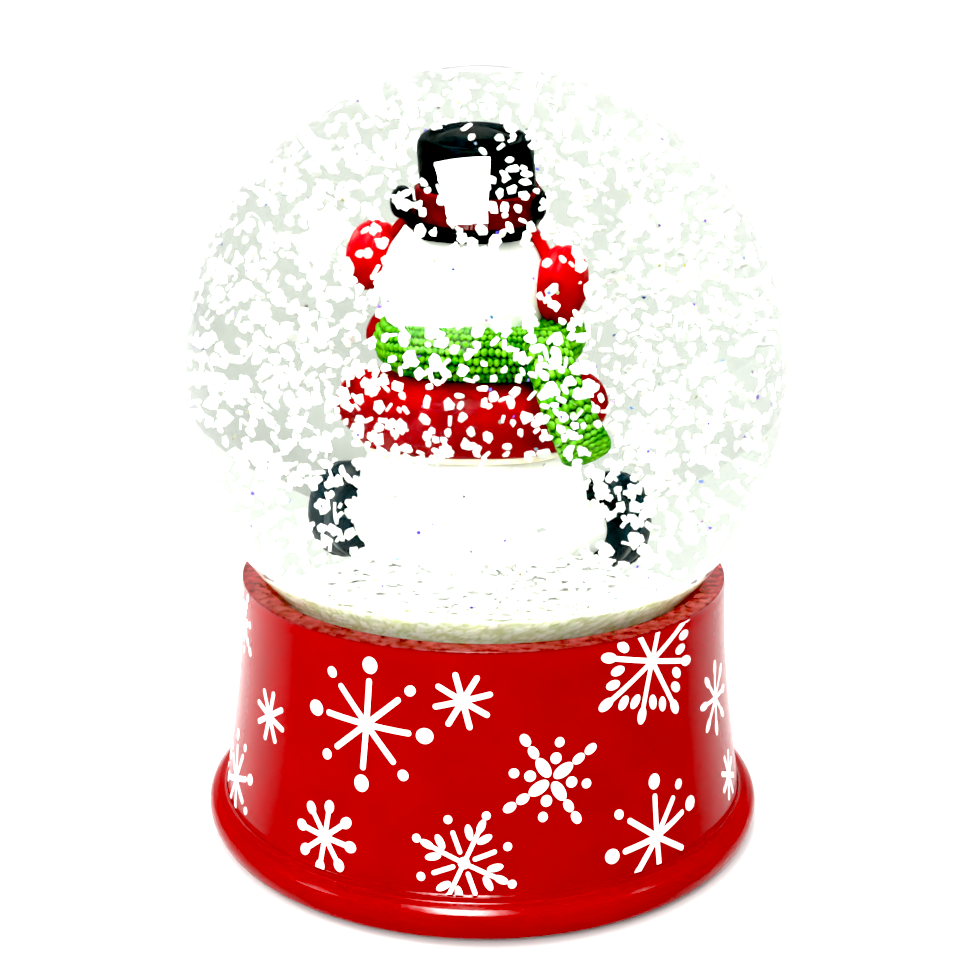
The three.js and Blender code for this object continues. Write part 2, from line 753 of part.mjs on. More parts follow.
// The pinned drum with its crown pinion on the left and its train wheel on the right.
function musicDrum() {
  const arborL = 28;
  const arbor = rodX(0.8, arborL, 8).translate(-1.2 + arborL / 2, 0, 0);
  const drum = rodX(DRUM_R, DRUM_TO_X - DRUM_FROM_X, 20)
    .translate((DRUM_FROM_X + DRUM_TO_X) / 2, 0, 0);
  const pinionR = CROWN_PITCH_R * PINION_TEETH / CROWN_TEETH;
  const pinion = wheelX(
    wheelOutline(PINION_TEETH, pinionR, 0.5, 0.8, 0.27, 0.1, -Math.PI / 2), 1.6,
  ).translate(-0.4, 0, 0);
  const gearR = TRAIN_MODULE * DRUM_GEAR_TEETH / 2;
  const gear = wheelX(
    wheelOutline(DRUM_GEAR_TEETH, gearR, 0.36, 0.5, 0.27, 0.1, idlerBearing()), 1.3,
  ).translate(22.7, 0, 0);
  const pins = [];
  for (let track = 0; track < NOTES; track += 1) {
    for (const share of track % 2 ? [0.13] : [0.13, 0.62]) {
      const pin = rod(0.2, 0.9, 4).translate(0, 0, DRUM_R + 0.05);
      pin.rotateX(2 * Math.PI * ((track * 0.38 + share) % 1) + 0.2);
      pins.push(pin.translate(trackX(track), 0, 0));
    }
  }
  return carved([drum, arbor, pinion, gear, ...pins]);
}

function trackX(track) {
  const span = DRUM_TO_X - DRUM_FROM_X;
  return DRUM_FROM_X + span * (track + 0.5) / NOTES;
}

// Direction from the drum's axis to the idler's, from +Y towards +Z.
function idlerBearing() {
  return Math.atan2(IDLER_Z - DRUM_Z, IDLER_Y);
}

function comb() {
  const outline = new THREE.Shape();
  const toothHalf = 0.34;
  const rootY = -15.2;
  const tipY = -(DRUM_R + 0.5 + GAP);
  outline.moveTo(DRUM_FROM_X - 0.2, -20.4);
  outline.lineTo(DRUM_TO_X + 0.2, -20.4);
  outline.lineTo(DRUM_TO_X + 0.2, rootY);
  for (let track = NOTES - 1; track >= 0; track -= 1) {
    const x = trackX(track);
    outline.lineTo(x + toothHalf, rootY);
    outline.lineTo(x + toothHalf, tipY);
    outline.lineTo(x - toothHalf, tipY);
    outline.lineTo(x - toothHalf, rootY);
  }
  outline.lineTo(DRUM_FROM_X - 0.2, rootY);
  for (const [x, y] of combScrewSpots()) {
    const hole = new THREE.Path();
    hole.absarc(x, y, 1.1, 0, 2 * Math.PI, true);
    outline.holes.push(hole);
  }
  return new THREE.ExtrudeGeometry(outline, {
    depth: 0.6, bevelEnabled: false, curveSegments: 4,
  });
}

// Idler: a pinion driven by the drum's wheel and a worm wheel that spins the fly.
function idlerWheel() {
  const arbor = rodX(0.5, 12.6, 6).translate(25.9, 0, 0);
  const pinion = wheelX(
    wheelOutline(IDLER_TEETH, TRAIN_MODULE * IDLER_TEETH / 2, 0.36, 0.5, 0.25, 0.1,
      idlerBearing() + Math.PI + Math.PI / IDLER_TEETH), 1.3,
  ).translate(22.7, 0, 0);
  const wormWheelR = TRAIN_MODULE * WORM_WHEEL_TEETH / 2;
  const wormWheel = wheelX(
    wheelOutline(WORM_WHEEL_TEETH, wormWheelR, 0.15, 0.6, 0.22, 0.1,
      Math.PI / WORM_WHEEL_TEETH), 0.8,
  ).translate(WORM_X, 0, 0);
  return carved([arbor, pinion, wormWheel]);
}

class Helix extends THREE.Curve {
  constructor(radius, lead, turns, startAngle) {
    super();
    this.radius = radius;
    this.lead = lead;
    this.turns = turns;
    this.startAngle = startAngle;
  }

  getPoint(t, target = new THREE.Vector3()) {
    const swept = 2 * Math.PI * this.turns * (t - 0.5);
    const angle = this.startAngle + swept;
    const height = this.lead * swept / (2 * Math.PI);
    return target.set(this.radius * Math.cos(angle), this.radius * Math.sin(angle), height);
  }
}

// Governor: a two-start worm under a two-winged air brake.
function governorFly() {
  const lead = WORM_STARTS * Math.PI * TRAIN_MODULE;
  const lowZ = BED_Z + BED_T + GAP;
  const highZ = 23.2;
  const shaft = rod(0.45, highZ - lowZ, 6).translate(0, 0, (highZ + lowZ) / 2);
  const core = rod(0.85, 5, 8).translate(0, 0, IDLER_Z);
  const section = new THREE.Shape();
  section.absarc(0, 0, 0.26, 0, 2 * Math.PI);
  const threads = [];
  for (let start = 0; start < WORM_STARTS; start += 1) {
    const path = new Helix(1.08, lead, WORM_TURNS, -Math.PI / 2 + start * 2 * Math.PI / WORM_STARTS);
    threads.push(new THREE.ExtrudeGeometry(section, {
      steps: 10, curveSegments: 2, bevelEnabled: false, extrudePath: path,
    }).translate(0, 0, IDLER_Z));
  }
  const wing = block(7.6, 0.5, 1.8).translate(0, 0, 20.9);
  const hub = rod(1, 1.8, 8).translate(0, 0, 20.9);
  return carved([shaft, core, ...threads, wing, hub]);
}

// The bridge carries the idler's right end and the top of the fly's shaft.
function governorBridge() {
  const lowZ = BED_Z + BED_T + GAP;
  const wormY = IDLER_Y + WORM_DISTANCE;
  const wall = block(1.2, 11, 23.6 - lowZ).translate(BRIDGE_X + 0.6, 9.4, (23.6 + lowZ) / 2);
  const arm = block(6.8, 3, 0.9).translate(28.4, wormY, 23.15);
  const foot = block(3, 11, 0.8).translate(BRIDGE_X - 0.4, 9.4, lowZ + 0.4);
  const cuts = [
    rodX(0.8, 5, 8).translate(BRIDGE_X, IDLER_Y, IDLER_Z),
    rod(0.75, 4, 8).translate(WORM_X, wormY, 23),
  ];
  return carved([wall, arm, foot], cuts);
}

function movementGroup() {
  const group = new THREE.Group();
  group.add(
    piece('bedplate', bedplate(), castZinc),
    piece('spring_barrel', springBarrel(), brass, KEY_X),
    piece('mainspring', mainspring(), steel, KEY_X, 0, 14.4),
    piece('crown_wheel', crownWheel(), brass, KEY_X),
    piece('winding_arbor', windingArbor(), steel, KEY_X),
    piece('winding_key', windingKey(), steel, KEY_X),
    piece('music_drum', musicDrum(), brass, 0, 0, DRUM_Z),
    piece('comb', comb(), steel, 0, 0, BED_Z + BED_T + 6.4),
    piece('idler_wheel', idlerWheel(), brass, 0, IDLER_Y, IDLER_Z),
    piece('governor_fly', governorFly(), blackPlastic, WORM_X, IDLER_Y + WORM_DISTANCE, 0),
    piece('governor_bridge', governorBridge(), castZinc),
  );
  const smallScrew = screwGeometry(1.7, 0.9, 0.75, 3.4);
  barrelPostSpots().forEach(([x, y], i) => {
    group.add(piece(`barrel_screw_${i + 1}`, smallScrew, steel, x, y, 22.4));
  });
  combScrewSpots().forEach(([x, y], i) => {
    group.add(piece(`comb_screw_${i + 1}`, smallScrew, steel, x, y, BED_Z + BED_T + 7.3));
  });
  movementScrewSpots().forEach(([x, y], i) => {
    const screw = piece(`movement_screw_${i + 1}`, screwGeometry(2, 1, 0.9, 3.2), steel);
    screw.rotation.x = Math.PI;
    screw.position.set(x, y, PLATE_Z - 0.1);
    group.add(screw);
  });
  return group;
}

const snowGlobe = new THREE.Group();
snowGlobe.add(globeGroup(), snowmanGroup(), baseGroup(), movementGroup());

export default snowGlobe;
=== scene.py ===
import json
import math
import random

import bmesh
import bpy
from mathutils import Matrix, Vector, noise


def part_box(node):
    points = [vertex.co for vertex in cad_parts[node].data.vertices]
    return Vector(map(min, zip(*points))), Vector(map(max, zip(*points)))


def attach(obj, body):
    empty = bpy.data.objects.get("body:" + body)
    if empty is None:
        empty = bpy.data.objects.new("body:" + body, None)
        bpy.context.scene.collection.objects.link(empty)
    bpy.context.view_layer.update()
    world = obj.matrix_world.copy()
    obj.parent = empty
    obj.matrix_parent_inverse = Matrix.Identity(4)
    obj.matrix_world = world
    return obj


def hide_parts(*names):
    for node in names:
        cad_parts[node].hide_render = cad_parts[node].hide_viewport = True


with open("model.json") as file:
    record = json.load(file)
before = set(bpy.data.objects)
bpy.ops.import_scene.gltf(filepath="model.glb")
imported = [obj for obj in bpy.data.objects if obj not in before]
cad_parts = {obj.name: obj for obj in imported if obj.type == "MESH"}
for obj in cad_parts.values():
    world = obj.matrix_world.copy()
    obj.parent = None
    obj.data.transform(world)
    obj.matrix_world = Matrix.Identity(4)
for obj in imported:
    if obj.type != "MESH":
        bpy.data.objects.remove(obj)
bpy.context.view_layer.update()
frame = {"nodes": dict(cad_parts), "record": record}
scene = bpy.context.scene
noise.seed_set(7)  # without a seed, noise_vector() takes its offsets from the clock

# Shapes are worked out in millimetres, in the part's own frame, and become metres in add_mesh().
MM = 0.001


def box_mm(node):
    low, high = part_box(node)
    return low / MM, high / MM


def about_y(angle):
    return Matrix.Rotation(angle, 4, "Y")


def centre_of(node):
    low, high = box_mm(node)
    return (low + high) / 2


# ---------------------------------------------------------------- driving dimensions

BALL_R = 50.0
BALL_Z = box_mm("glass_globe")[1].z - BALL_R
GLASS_WALL = 2.2
NECK_R = 31.0
NECK_END_Z = box_mm("glass_globe")[0].z
WATER_LAP = 0.08  # the water's skin lies this far inside the glass, so that no air shows between
WATER_TOP_Z = BALL_Z + 47.2  # a small air bubble is left at the top

RIM_Z = box_mm("base_shell")[1].z
RIM_R = 41.6
JUNCTION_R, JUNCTION_Z = 45.7, 6.7
COVE_POWER = 1.8
CUP_R, CUP_FLOOR_Z = 34.8, 26.0
CAVITY_R, CAVITY_TOP_Z = 40.5, 24.0

FIGURE_X = -1.5
HEAD = centre_of("head")
HEAD_R = 10.8
HEAD_TURN = about_y(0.1) @ Matrix.Rotation(-0.26, 4, "Z")
HEAD_PLACE = Matrix.Translation(HEAD) @ HEAD_TURN
EAR_REACH, EAR_LIFT = 12.2, 2.6
HAT_X = centre_of("top_hat").x
HAT_Z = box_mm("top_hat")[0].z
SCARF_X = centre_of("scarf_wrap").x
SCARF_Z = 82.2
SCARF_RING_R, SCARF_THICK_R = 9.9, 3.4
HEM_R, HEM_Z = 13.9, box_mm("coat")[0].z

MOUND_Z, MOUND_TOP_Z = (corner.z for corner in box_mm("snow_mound"))
SNOW_EDGE_Z = 49.0  # where the settled snow meets the glass

# ---------------------------------------------------------------- materials

# Paint under water hardly mirrors anything, because water and paint bend light nearly alike.
UNDER_WATER = 0.1


class Tree:
    """A node tree under construction. place is where its patterns are read, in millimetres."""

    def __init__(self, tree):
        self.nodes, self.links = tree.nodes, tree.links
        self.body = self.nodes.get("Principled BSDF")
        self.place = None

    def feed(self, node, fed):
        """Gives a node's sockets their numbers, their colours or other nodes' outputs."""
        for socket, value in fed.items():
            if isinstance(value, bpy.types.NodeSocket):
                self.links.new(value, node.inputs[socket])
            else:
                node.inputs[socket].default_value = value

    def add(self, kind, fed=None):
        node = self.nodes.new("ShaderNode" + kind)
        self.feed(node, fed or {})
        return node

    def combine(self, operation, *values):
        node = self.nodes.new("ShaderNodeMath")
        node.operation = operation
        self.feed(node, dict(enumerate(values)))
        return node.outputs[0]

    def noise(self, per_mm, detail=3.0, distortion=0.0):
        return self.add("TexNoise", {
            "Vector": self.place, "Scale": per_mm, "Detail": detail, "Distortion": distortion,
        }).outputs["Fac"]

    def ramp(self, value, stops):
        """A colour ramp through (position, colour) stops."""
        node = self.add("ValToRGB", {"Fac": value})
        elements = node.color_ramp.elements
        while len(elements) < len(stops):
            elements.new(0.5)
        for element, (position, colour) in zip(elements, stops):
            element.position = position
            element.color = (*colour, 1)
        return node.outputs["Color"]

    def span(self, value, low, high, from_low=0.3, from_high=0.7):
        """The value, stretched from one range to another."""
        return self.add("MapRange", {
            "Value": value, "From Min": from_low, "From Max": from_high,
            "To Min": low, "To Max": high,
        }).outputs["Result"]

    def mix(self, share, a, b, kind="RGBA"):
        node = self.nodes.new("ShaderNodeMix")
        node.data_type = kind
        self.feed(node, {"Factor": share, "A": a, "B": b})
        return node.outputs["Result"]

    def bump(self, height, strength, depth_mm):
        return self.add("Bump", {
            "Height": height, "Strength": strength, "Distance": depth_mm * MM,
        }).outputs["Normal"]


def new_look(name):
    """A new material and its tree, patterned by the object's own coordinates."""
    material = bpy.data.materials.new(name)
    material.use_nodes = True
    tree = Tree(material.node_tree)
    scaled = tree.nodes.new("ShaderNodeVectorMath")
    scaled.operation = "SCALE"
    tree.feed(scaled, {0: tree.add("TexCoord").outputs["Object"], "Scale": 1 / MM})
    tree.place = scaled.outputs[0]
    return material, tree


def finish_like(name, colours, roughness, grain, metallic=0.0, bump=(0.3, 0.05), level=0.5):
    """A surface whose colour and gloss wander: colours from low to high noise, roughness as
    (low, high), grain as (patches per mm, fine grain per mm), bump as (strength, depth in mm)."""
    material, tree = new_look(name)
    stops = [(0.3 + 0.4 * i / (len(colours) - 1), c) for i, c in enumerate(colours)]
    fine = tree.noise(grain[1], 2.0)
    tree.feed(tree.body, {
        "Base Color": tree.ramp(tree.noise(grain[0], 4.0, 0.4), stops),
        "Roughness": tree.span(fine, *roughness), "Normal": tree.bump(fine, *bump),
        "Metallic": metallic, "Specular IOR Level": level,
    })
    return material


def relief_look(name, low, high, roughness, grain, scatter_mm=0.0):
    """A surface coloured by its relief, which the mesh carries as an attribute: low in the gaps,
    where it is painted shade, and on what stands proud the two colours of high, mixed by noise."""
    material, tree = new_look(name)
    relief = tree.nodes.new("ShaderNodeAttribute")
    relief.attribute_name = "relief"
    proud = tree.span(relief.outputs["Fac"], 0, 1, 0.1, 0.75)
    tops = tree.ramp(tree.noise(grain[0]), [(0.35, high[0]), (0.65, high[1])])
    fine = tree.noise(grain[1], 2.0)
    tree.feed(tree.body, {
        # Painted shade: low darkens the gaps between what stands proud.
        "Base Color": tree.mix(proud, (*low, 1), tops), "Roughness": tree.span(fine, *roughness),
        "Normal": tree.bump(fine, 0.4, 0.06), "Specular IOR Level": UNDER_WATER,
    })
    if scatter_mm:
        tree.feed(tree.body, {
            "Subsurface Weight": 1.0, "Subsurface Radius": (1.0, 1.0, 1.0),
            "Subsurface Scale": scatter_mm * MM,
        })
    return material


def clear_look(name, tint, ior, wave, mirror):
    """Glass or water. Shadow rays pass straight through, so that lamps light what is inside."""
    material, tree = new_look(name)
    tree.feed(tree.body, {
        "Base Color": (*tint, 1), "Roughness": 0.0, "IOR": ior, "Transmission Weight": 1.0,
        "Specular Tint": (mirror, mirror, mirror, 1),
        "Normal": tree.bump(tree.noise(0.06, 1.0), *wave),
    })
    mix = tree.add("MixShader", {
        "Fac": tree.add("LightPath").outputs["Is Shadow Ray"], 1: tree.body.outputs["BSDF"],
        2: tree.add("BsdfTransparent").outputs["BSDF"],
    })
    tree.feed(tree.nodes["Material Output"], {"Surface": mix.outputs["Shader"]})
    return material


def lacquer_look():
    """Red lacquer: brush-free gloss, paler where edges stand out, with painted shade on top of the
    rim, mottled there as painted reflections of the flakes.
    """
    material, tree = new_look("red_lacquer_gloss")
    reds = tree.ramp(tree.noise(0.12), [(0.3, (0.20, 0.0, 0.0)), (0.7, (0.225, 0.0, 0.0005))])
    edges = tree.add("NewGeometry").outputs["Pointiness"]
    wall = tree.mix(tree.span(edges, 0, 0.5, 0.53, 0.62), reds, (0.31, 0.004, 0.004, 1))
    # Painted shade: the top of the rim is darkened, and its noise patches are painted reflections of
    # the flakes.
    height = tree.add("SeparateXYZ", {0: tree.place}).outputs["Z"]
    painted_shade_on_rim = tree.span(height, 0, 1, RIM_Z - 0.5, RIM_Z - 0.1)
    rim = tree.ramp(tree.noise(0.7), [(0.35, (0.09, 0.002, 0.002)), (0.65, (0.15, 0.03, 0.03))])
    fine = tree.noise(1.1, 5.0)
    tree.feed(tree.body, {
        "Base Color": tree.mix(painted_shade_on_rim, wall, rim), "Roughness": tree.span(fine, 0.14, 0.24),
        "Normal": tree.bump(fine, 0.08, 0.04), "Specular IOR Level": 0.16,
    })
    return material


def glitter_look():
    """Foil specks, each of one colour."""
    material, tree = new_look("foil_glitter")
    foils = [
        (0.0, (0.10, 0.08, 0.75)), (0.3, (0.32, 0.10, 0.80)), (0.5, (0.10, 0.35, 0.85)),
        (0.7, (0.80, 0.72, 0.25)), (0.85, (0.35, 0.36, 0.34)), (1.0, (0.70, 0.35, 0.75)),
    ]
    speck = tree.add("NewGeometry").outputs["Random Per Island"]
    tree.feed(tree.body, {
        "Base Color": tree.ramp(speck, foils), "Metallic": 0.9, "Roughness": 0.25,
    })
    return material


LOOKS = {
    # The glass has two skins and shares one pane's reflection between them, and where water
    # touches glass it hardly reflects.
    "glass": clear_look("blown_glass", (0.98, 0.99, 0.985), 1.5, (0.15, 0.6), 0.35),
    # The water's strong grey-green tint is partly its own colour and partly painted shade: it
    # darkens what shows between the flakes as the shade of flakes further back would.
    "water": clear_look("globe_water", (0.50, 0.53, 0.48), 1.33, (0.05, 0.2), 0.05),
    "lacquer": lacquer_look(),
    "print": finish_like(
        "white_print", [(0.86, 0.86, 0.84), (0.97, 0.97, 0.96)], (0.35, 0.5), (0.8, 4.0),
    ),
    "snow_paint": finish_like(
        "white_resin_paint", [(0.93, 0.92, 0.87), (0.97, 0.97, 0.94), (0.98, 0.98, 0.97)],
        (0.35, 0.6), (0.16, 1.6), bump=(0.35, 0.12), level=UNDER_WATER,
    ),
    "red_paint": finish_like(
        "red_resin_paint", [(0.11, 0.0, 0.002), (0.21, 0.001, 0.005), (0.27, 0.004, 0.008)],
        (0.35, 0.55), (0.25, 2.5), bump=(0.25, 0.06), level=0.05,
    ),
    "ear_paint": finish_like(
        "bright_red_resin_paint", [(0.20, 0.001, 0.004), (0.34, 0.004, 0.010), (0.42, 0.014, 0.018)],
        (0.35, 0.55), (0.25, 2.5), bump=(0.25, 0.06), level=0.06,
    ),
    "hem": finish_like(
        "cream_resin_paint", [(0.80, 0.66, 0.48), (0.93, 0.88, 0.76)], (0.4, 0.6), (0.4, 3.0),
        level=UNDER_WATER,
    ),
    "band": finish_like(
        "dark_red_ribbon_paint", [(0.05, 0.0, 0.001), (0.13, 0.001, 0.004)],
        (0.3, 0.5), (0.5, 4.0), bump=(0.3, 0.06), level=0.04,
    ),
    "black_paint": finish_like(
        "black_resin_paint", [(0.0005, 0.001, 0.001), (0.001, 0.003, 0.004), (0.003, 0.006, 0.009)],
        (0.3, 0.5), (0.3, 2.0), bump=(0.3, 0.06), level=0.02,
    ),
    "boot_paint": finish_like(
        "blue_black_resin_paint", [(0.001, 0.005, 0.009), (0.004, 0.020, 0.030)],
        (0.25, 0.5), (0.3, 2.0), bump=(0.5, 0.1), level=UNDER_WATER,
    ),
    "orange_paint": finish_like(
        "orange_resin_paint", [(0.62, 0.14, 0.015), (0.85, 0.27, 0.03)], (0.35, 0.55), (0.6, 4.0),
        level=UNDER_WATER,
    ),
    # The knit's near-black low colour is painted shade in the gaps between its beads.
    "knit": relief_look(
        "green_knit_paint", (0.001, 0.016, 0.0005), [(0.022, 0.20, 0.003), (0.15, 0.46, 0.03)],
        (0.35, 0.6), (0.6, 4.0),
    ),
    # The bank's grey-green low colour is painted shade in the seams between packed flakes.
    "bank": relief_look(
        "packed_snow_flakes", (0.67, 0.70, 0.46), [(0.93, 0.95, 0.80), (0.99, 0.98, 0.90)],
        (0.4, 0.6), (0.35, 3.0), scatter_mm=1.6,
    ),
    "flake": finish_like(
        "white_plastic_flakes", [(0.88, 0.90, 0.87), (0.98, 0.98, 0.98)], (0.4, 0.6), (0.4, 3.0),
        level=UNDER_WATER,
    ),
    "glitter": glitter_look(),
    "rubber": finish_like(
        "black_rubber", [(0.012, 0.012, 0.012), (0.03, 0.03, 0.03)], (0.7, 0.95), (0.3, 6.0),
        bump=(0.5, 0.08), level=0.3,
    ),
    "adhesive": finish_like(
        "amber_epoxy", [(0.60, 0.48, 0.22), (0.78, 0.68, 0.42)], (0.25, 0.5), (0.2, 1.5),
    ),
    "plate": finish_like(
        "black_moulded_plastic", [(0.010, 0.010, 0.011), (0.022, 0.022, 0.023)],
        (0.4, 0.65), (0.2, 5.0), bump=(0.4, 0.06),
    ),
    "zinc": finish_like(
        "cast_zinc_alloy", [(0.34, 0.34, 0.33), (0.52, 0.52, 0.51)], (0.35, 0.6), (0.3, 3.0),
        metallic=0.9, bump=(0.5, 0.1),
    ),
    "steel": finish_like(
        "plated_steel", [(0.52, 0.53, 0.54), (0.72, 0.73, 0.74)], (0.16, 0.36), (0.4, 6.0),
        metallic=1.0, bump=(0.15, 0.03),
    ),
    "brass": finish_like(
        "turned_brass", [(0.55, 0.38, 0.13), (0.80, 0.60, 0.26)], (0.18, 0.4), (0.35, 5.0),
        metallic=1.0, bump=(0.15, 0.03),
    ),
}

# ---------------------------------------------------------------- mesh helpers

SIDES = (("left", -1), ("right", 1))
UP = Vector((0, 0, 1))


def clamp(share):
    return max(0.0, min(1.0, share))


def heading(angle):
    """The level direction at an angle about Z."""
    return Vector((math.cos(angle), math.sin(angle), 0))


def turns(count):
    """Angles in even steps round a full circle."""
    return [math.tau * k / count for k in range(count)]


def on_circle(radius, angle, z):
    return Vector((radius * math.cos(angle), radius * math.sin(angle), z))


def moved(rings, move):
    return [[move(p) for p in ring] for ring in rings]


def append_part(points, faces, part):
    start = len(points)
    faces.extend([[i + start for i in face] for face in part[1]])
    points.extend(part[0])


def place_mesh(name, mesh):
    piece = bpy.data.objects.new(name, mesh)
    scene.collection.objects.link(piece)
    return piece


def add_mesh(name, points, faces, look, slot=None, stands_for=(), body="root", smooth=True):
    """A piece from points in millimetres, with its faces turned outwards."""
    mesh = bpy.data.meshes.new(name)
    mesh.from_pydata([Vector(p) * MM for p in points], [], faces)
    shaped = bmesh.new()
    shaped.from_mesh(mesh)
    bmesh.ops.recalc_face_normals(shaped, faces=shaped.faces)
    shaped.to_mesh(mesh)
    shaped.free()
    return dress(place_mesh(name, mesh), look, stands_for, body, smooth)


def dress(piece, look, stands_for=(), body="root", smooth=True):
    """Gives a piece its look and its body, and hides the CAD nodes that it stands for."""
    piece.data.materials.clear()
    piece.data.materials.append(LOOKS[look])
    if smooth:
        piece.data.shade_smooth()
    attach(piece, body)
    if stands_for:
        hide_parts(*stands_for)
    return piece


def loft(rings, closed=False):
    """Points and faces through rings of equal length. A ring of one point is a pole."""
    points, starts = [], []
    for ring in rings:
        starts.append(len(points))
        points.extend(ring)
    pairs = list(zip(range(len(rings) - 1), range(1, len(rings))))
    if closed:
        pairs.append((len(rings) - 1, 0))
    faces = []
    for low, high in pairs:
        count = max(len(rings[low]), len(rings[high]))
        for k in range(count):
            after = (k + 1) % count
            corners = []
            for ring, step in ((low, k), (low, after), (high, after), (high, k)):
                corners.append(starts[ring] + (step if len(rings[ring]) > 1 else 0))
            faces.append(list(dict.fromkeys(corners)))
    return points, faces


def lathe(profile, sides, at=(0, 0)):
    """Rings of a profile of (radius, height) turned about a vertical line through at."""
    rings = []
    for radius, height in profile:
        rings.append([
            Vector((at[0] + radius * math.cos(a), at[1] + radius * math.sin(a), height))
            for a in turns(sides if radius > 1e-6 else 1)
        ])
    return rings


def arc(centre_r, centre_z, radius, start_deg, end_deg, steps):
    points = []
    for i in range(steps + 1):
        angle = math.radians(start_deg + (end_deg - start_deg) * i / steps)
        points.append((centre_r + radius * math.cos(angle), centre_z + radius * math.sin(angle)))
    return points


def rounded(corners, steps=4):
    """A profile whose corners, given as (r, z, fillet), are rounded by short curves."""
    profile = []
    for i, (r, z, fillet) in enumerate(corners):
        here = Vector((r, z))
        if fillet == 0:
            profile.append((r, z))
            continue
        before = Vector(corners[i - 1][:2]) - here
        after = Vector(corners[(i + 1) % len(corners)][:2]) - here
        start = here + before.normalized() * min(fillet, before.length * 0.45)
        end = here + after.normalized() * min(fillet, after.length * 0.45)
        for k in range(steps + 1):
            t = k / steps
            point = start * (1 - t) ** 2 + here * (2 * t * (1 - t)) + end * t ** 2
            profile.append((point.x, point.y))
    return profile


def smooth_profile(knots, steps):
    """A Catmull-Rom curve through the knots, any tuples of numbers."""
    knots = [Vector(k) for k in knots]
    curve = []
    for i in range(len(knots) - 1):
        a, b = knots[max(i - 1, 0)], knots[i]
        c, d = knots[i + 1], knots[min(i + 2, len(knots) - 1)]
        for k in range(steps):
            t = k / steps
            curve.append(0.5 * (
                2 * b + (c - a) * t + (2 * a - 5 * b + 4 * c - d) * t * t
                + (3 * b - a - 3 * c + d) * t ** 3
            ))
    curve.append(knots[-1])
    return curve


def ball_rings(radii, across, down, turn=None, at=(0, 0, 0)):
    """Rings of an ellipsoid with its poles on its own Z, turned and moved."""
    turn = turn or Matrix.Identity(4)
    rings = []
    for i in range(down + 1):
        lean = math.pi * i / down - math.pi / 2
        ring = []
        for angle in turns(1 if i in (0, down) else across):
            point = Vector((
                radii[0] * math.cos(lean) * math.cos(angle),
                radii[1] * math.cos(lean) * math.sin(angle),
                radii[2] * math.sin(lean),
            ))
            ring.append(turn @ point + Vector(at))
        rings.append(ring)
    return rings


def tube_rings(path, widths, across=16, flat=1.0, outward=None):
    """Rings about a path: widths along it, flat is the thickness as a share of the width, and
    outward(point) the direction of the thin side."""
    rings = []
    for i, point in enumerate(path):
        along = (path[min(i + 1, len(path) - 1)] - path[max(i - 1, 0)]).normalized()
        guide = outward(point) if outward else UP
        side = along.cross(guide).normalized()
        up = side.cross(along).normalized()
        rings.append([
            point + side * (widths[i] * math.cos(a)) + up * (widths[i] * flat * math.sin(a))
            for a in turns(across)
        ])
    return [[path[0]]] + rings + [[path[-1]]]


def roughened(rings, size_mm, depth_mm, seed=0.0):
    """Moves every point a little by noise, as a hand-carved master has it."""
    shift = Vector((seed, 1.7 * seed, -seed))
    return moved(rings, lambda p: p + noise.noise_vector(p / size_mm + shift) * depth_mm)


def melted(name, lumps, voxel, look, slot, stands_for, flow=12):
    """One soft body from overlapping lumps, merged on a fine grid and smoothed."""
    points, faces = [], []
    for rings in lumps:
        append_part(points, faces, loft(rings))
    piece = add_mesh(name, points, faces, look, slot, stands_for)
    grid = piece.modifiers.new("merge", "REMESH")
    grid.mode = "VOXEL"
    grid.voxel_size = voxel * MM
    relax = piece.modifiers.new("flow", "SMOOTH")
    relax.factor = 0.5
    relax.iterations = flow
    fixed = bpy.data.meshes.new_from_object(
        piece.evaluated_get(bpy.context.evaluated_depsgraph_get())
    )
    piece.modifiers.clear()
    piece.data = fixed
    piece.data.shade_smooth()
    return piece


def set_relief(piece, values):
    relief = piece.data.attributes.new("relief", "FLOAT", "POINT")
    relief.data.foreach_set("value", values)


# ---------------------------------------------------------------- globe


def sphere_r(radius, height):
    return math.sqrt(max(radius ** 2 - (BALL_Z - height) ** 2, 0))


def globe_angle(radius, neck_radius):
    """Degrees below the equator at which a sphere meets the neck."""
    return -math.degrees(math.acos(neck_radius / radius))


def make_globe():
    inner_r = BALL_R - GLASS_WALL
    neck_inner = NECK_R - GLASS_WALL
    outer = arc(0, BALL_Z, BALL_R, globe_angle(BALL_R, NECK_R), 90, 90)
    inner = arc(0, BALL_Z, inner_r, 90, globe_angle(inner_r, neck_inner), 90)
    outer[-1] = (0, BALL_Z + BALL_R)
    inner[0] = (0, BALL_Z + inner_r)
    wall = [(NECK_R, NECK_END_Z + 0.5), *outer]
    lining = [*inner, (neck_inner, NECK_END_Z + 0.5)]
    mouth = rounded([(neck_inner, NECK_END_Z, 0.6), (NECK_R, NECK_END_Z, 0.6)])
    rings = lathe([*mouth[5:], *wall], 160)
    lining_rings = lathe([*lining, *mouth[:5]], 160)
    points, faces = loft(rings + lining_rings)
    # The two skins meet at the mouth; the step between their poles is not a surface.
    faces = [f for f in faces if len(f) > 2]
    mouth_faces = loft([lining_rings[-1], rings[0]])[1]
    last, count = len(points) - len(lining_rings[-1]), len(rings[0])
    faces.extend([[i + last if i < count else i - count for i in f] for f in mouth_faces])
    add_mesh("blown_globe", points, faces, "glass", "clear_glass", ["glass_globe"])

    water_r = inner_r + WATER_LAP
    low_z = MOUND_Z
    start = -math.degrees(math.asin((BALL_Z - low_z) / water_r))
    end = math.degrees(math.asin((WATER_TOP_Z - BALL_Z) / water_r))
    skin = arc(0, BALL_Z, water_r, start, end, 90)
    level = [(skin[-1][0] - 0.5, WATER_TOP_Z - 0.35), (skin[-1][0] - 1.4, WATER_TOP_Z - 0.5)]
    rings = lathe([(0, low_z), (skin[0][0] - 2, low_z), *skin, *level, (0, WATER_TOP_Z - 0.5)], 160)
    add_mesh("globe_water", *loft(rings), "water", "water", ["water"])


# ---------------------------------------------------------------- snow


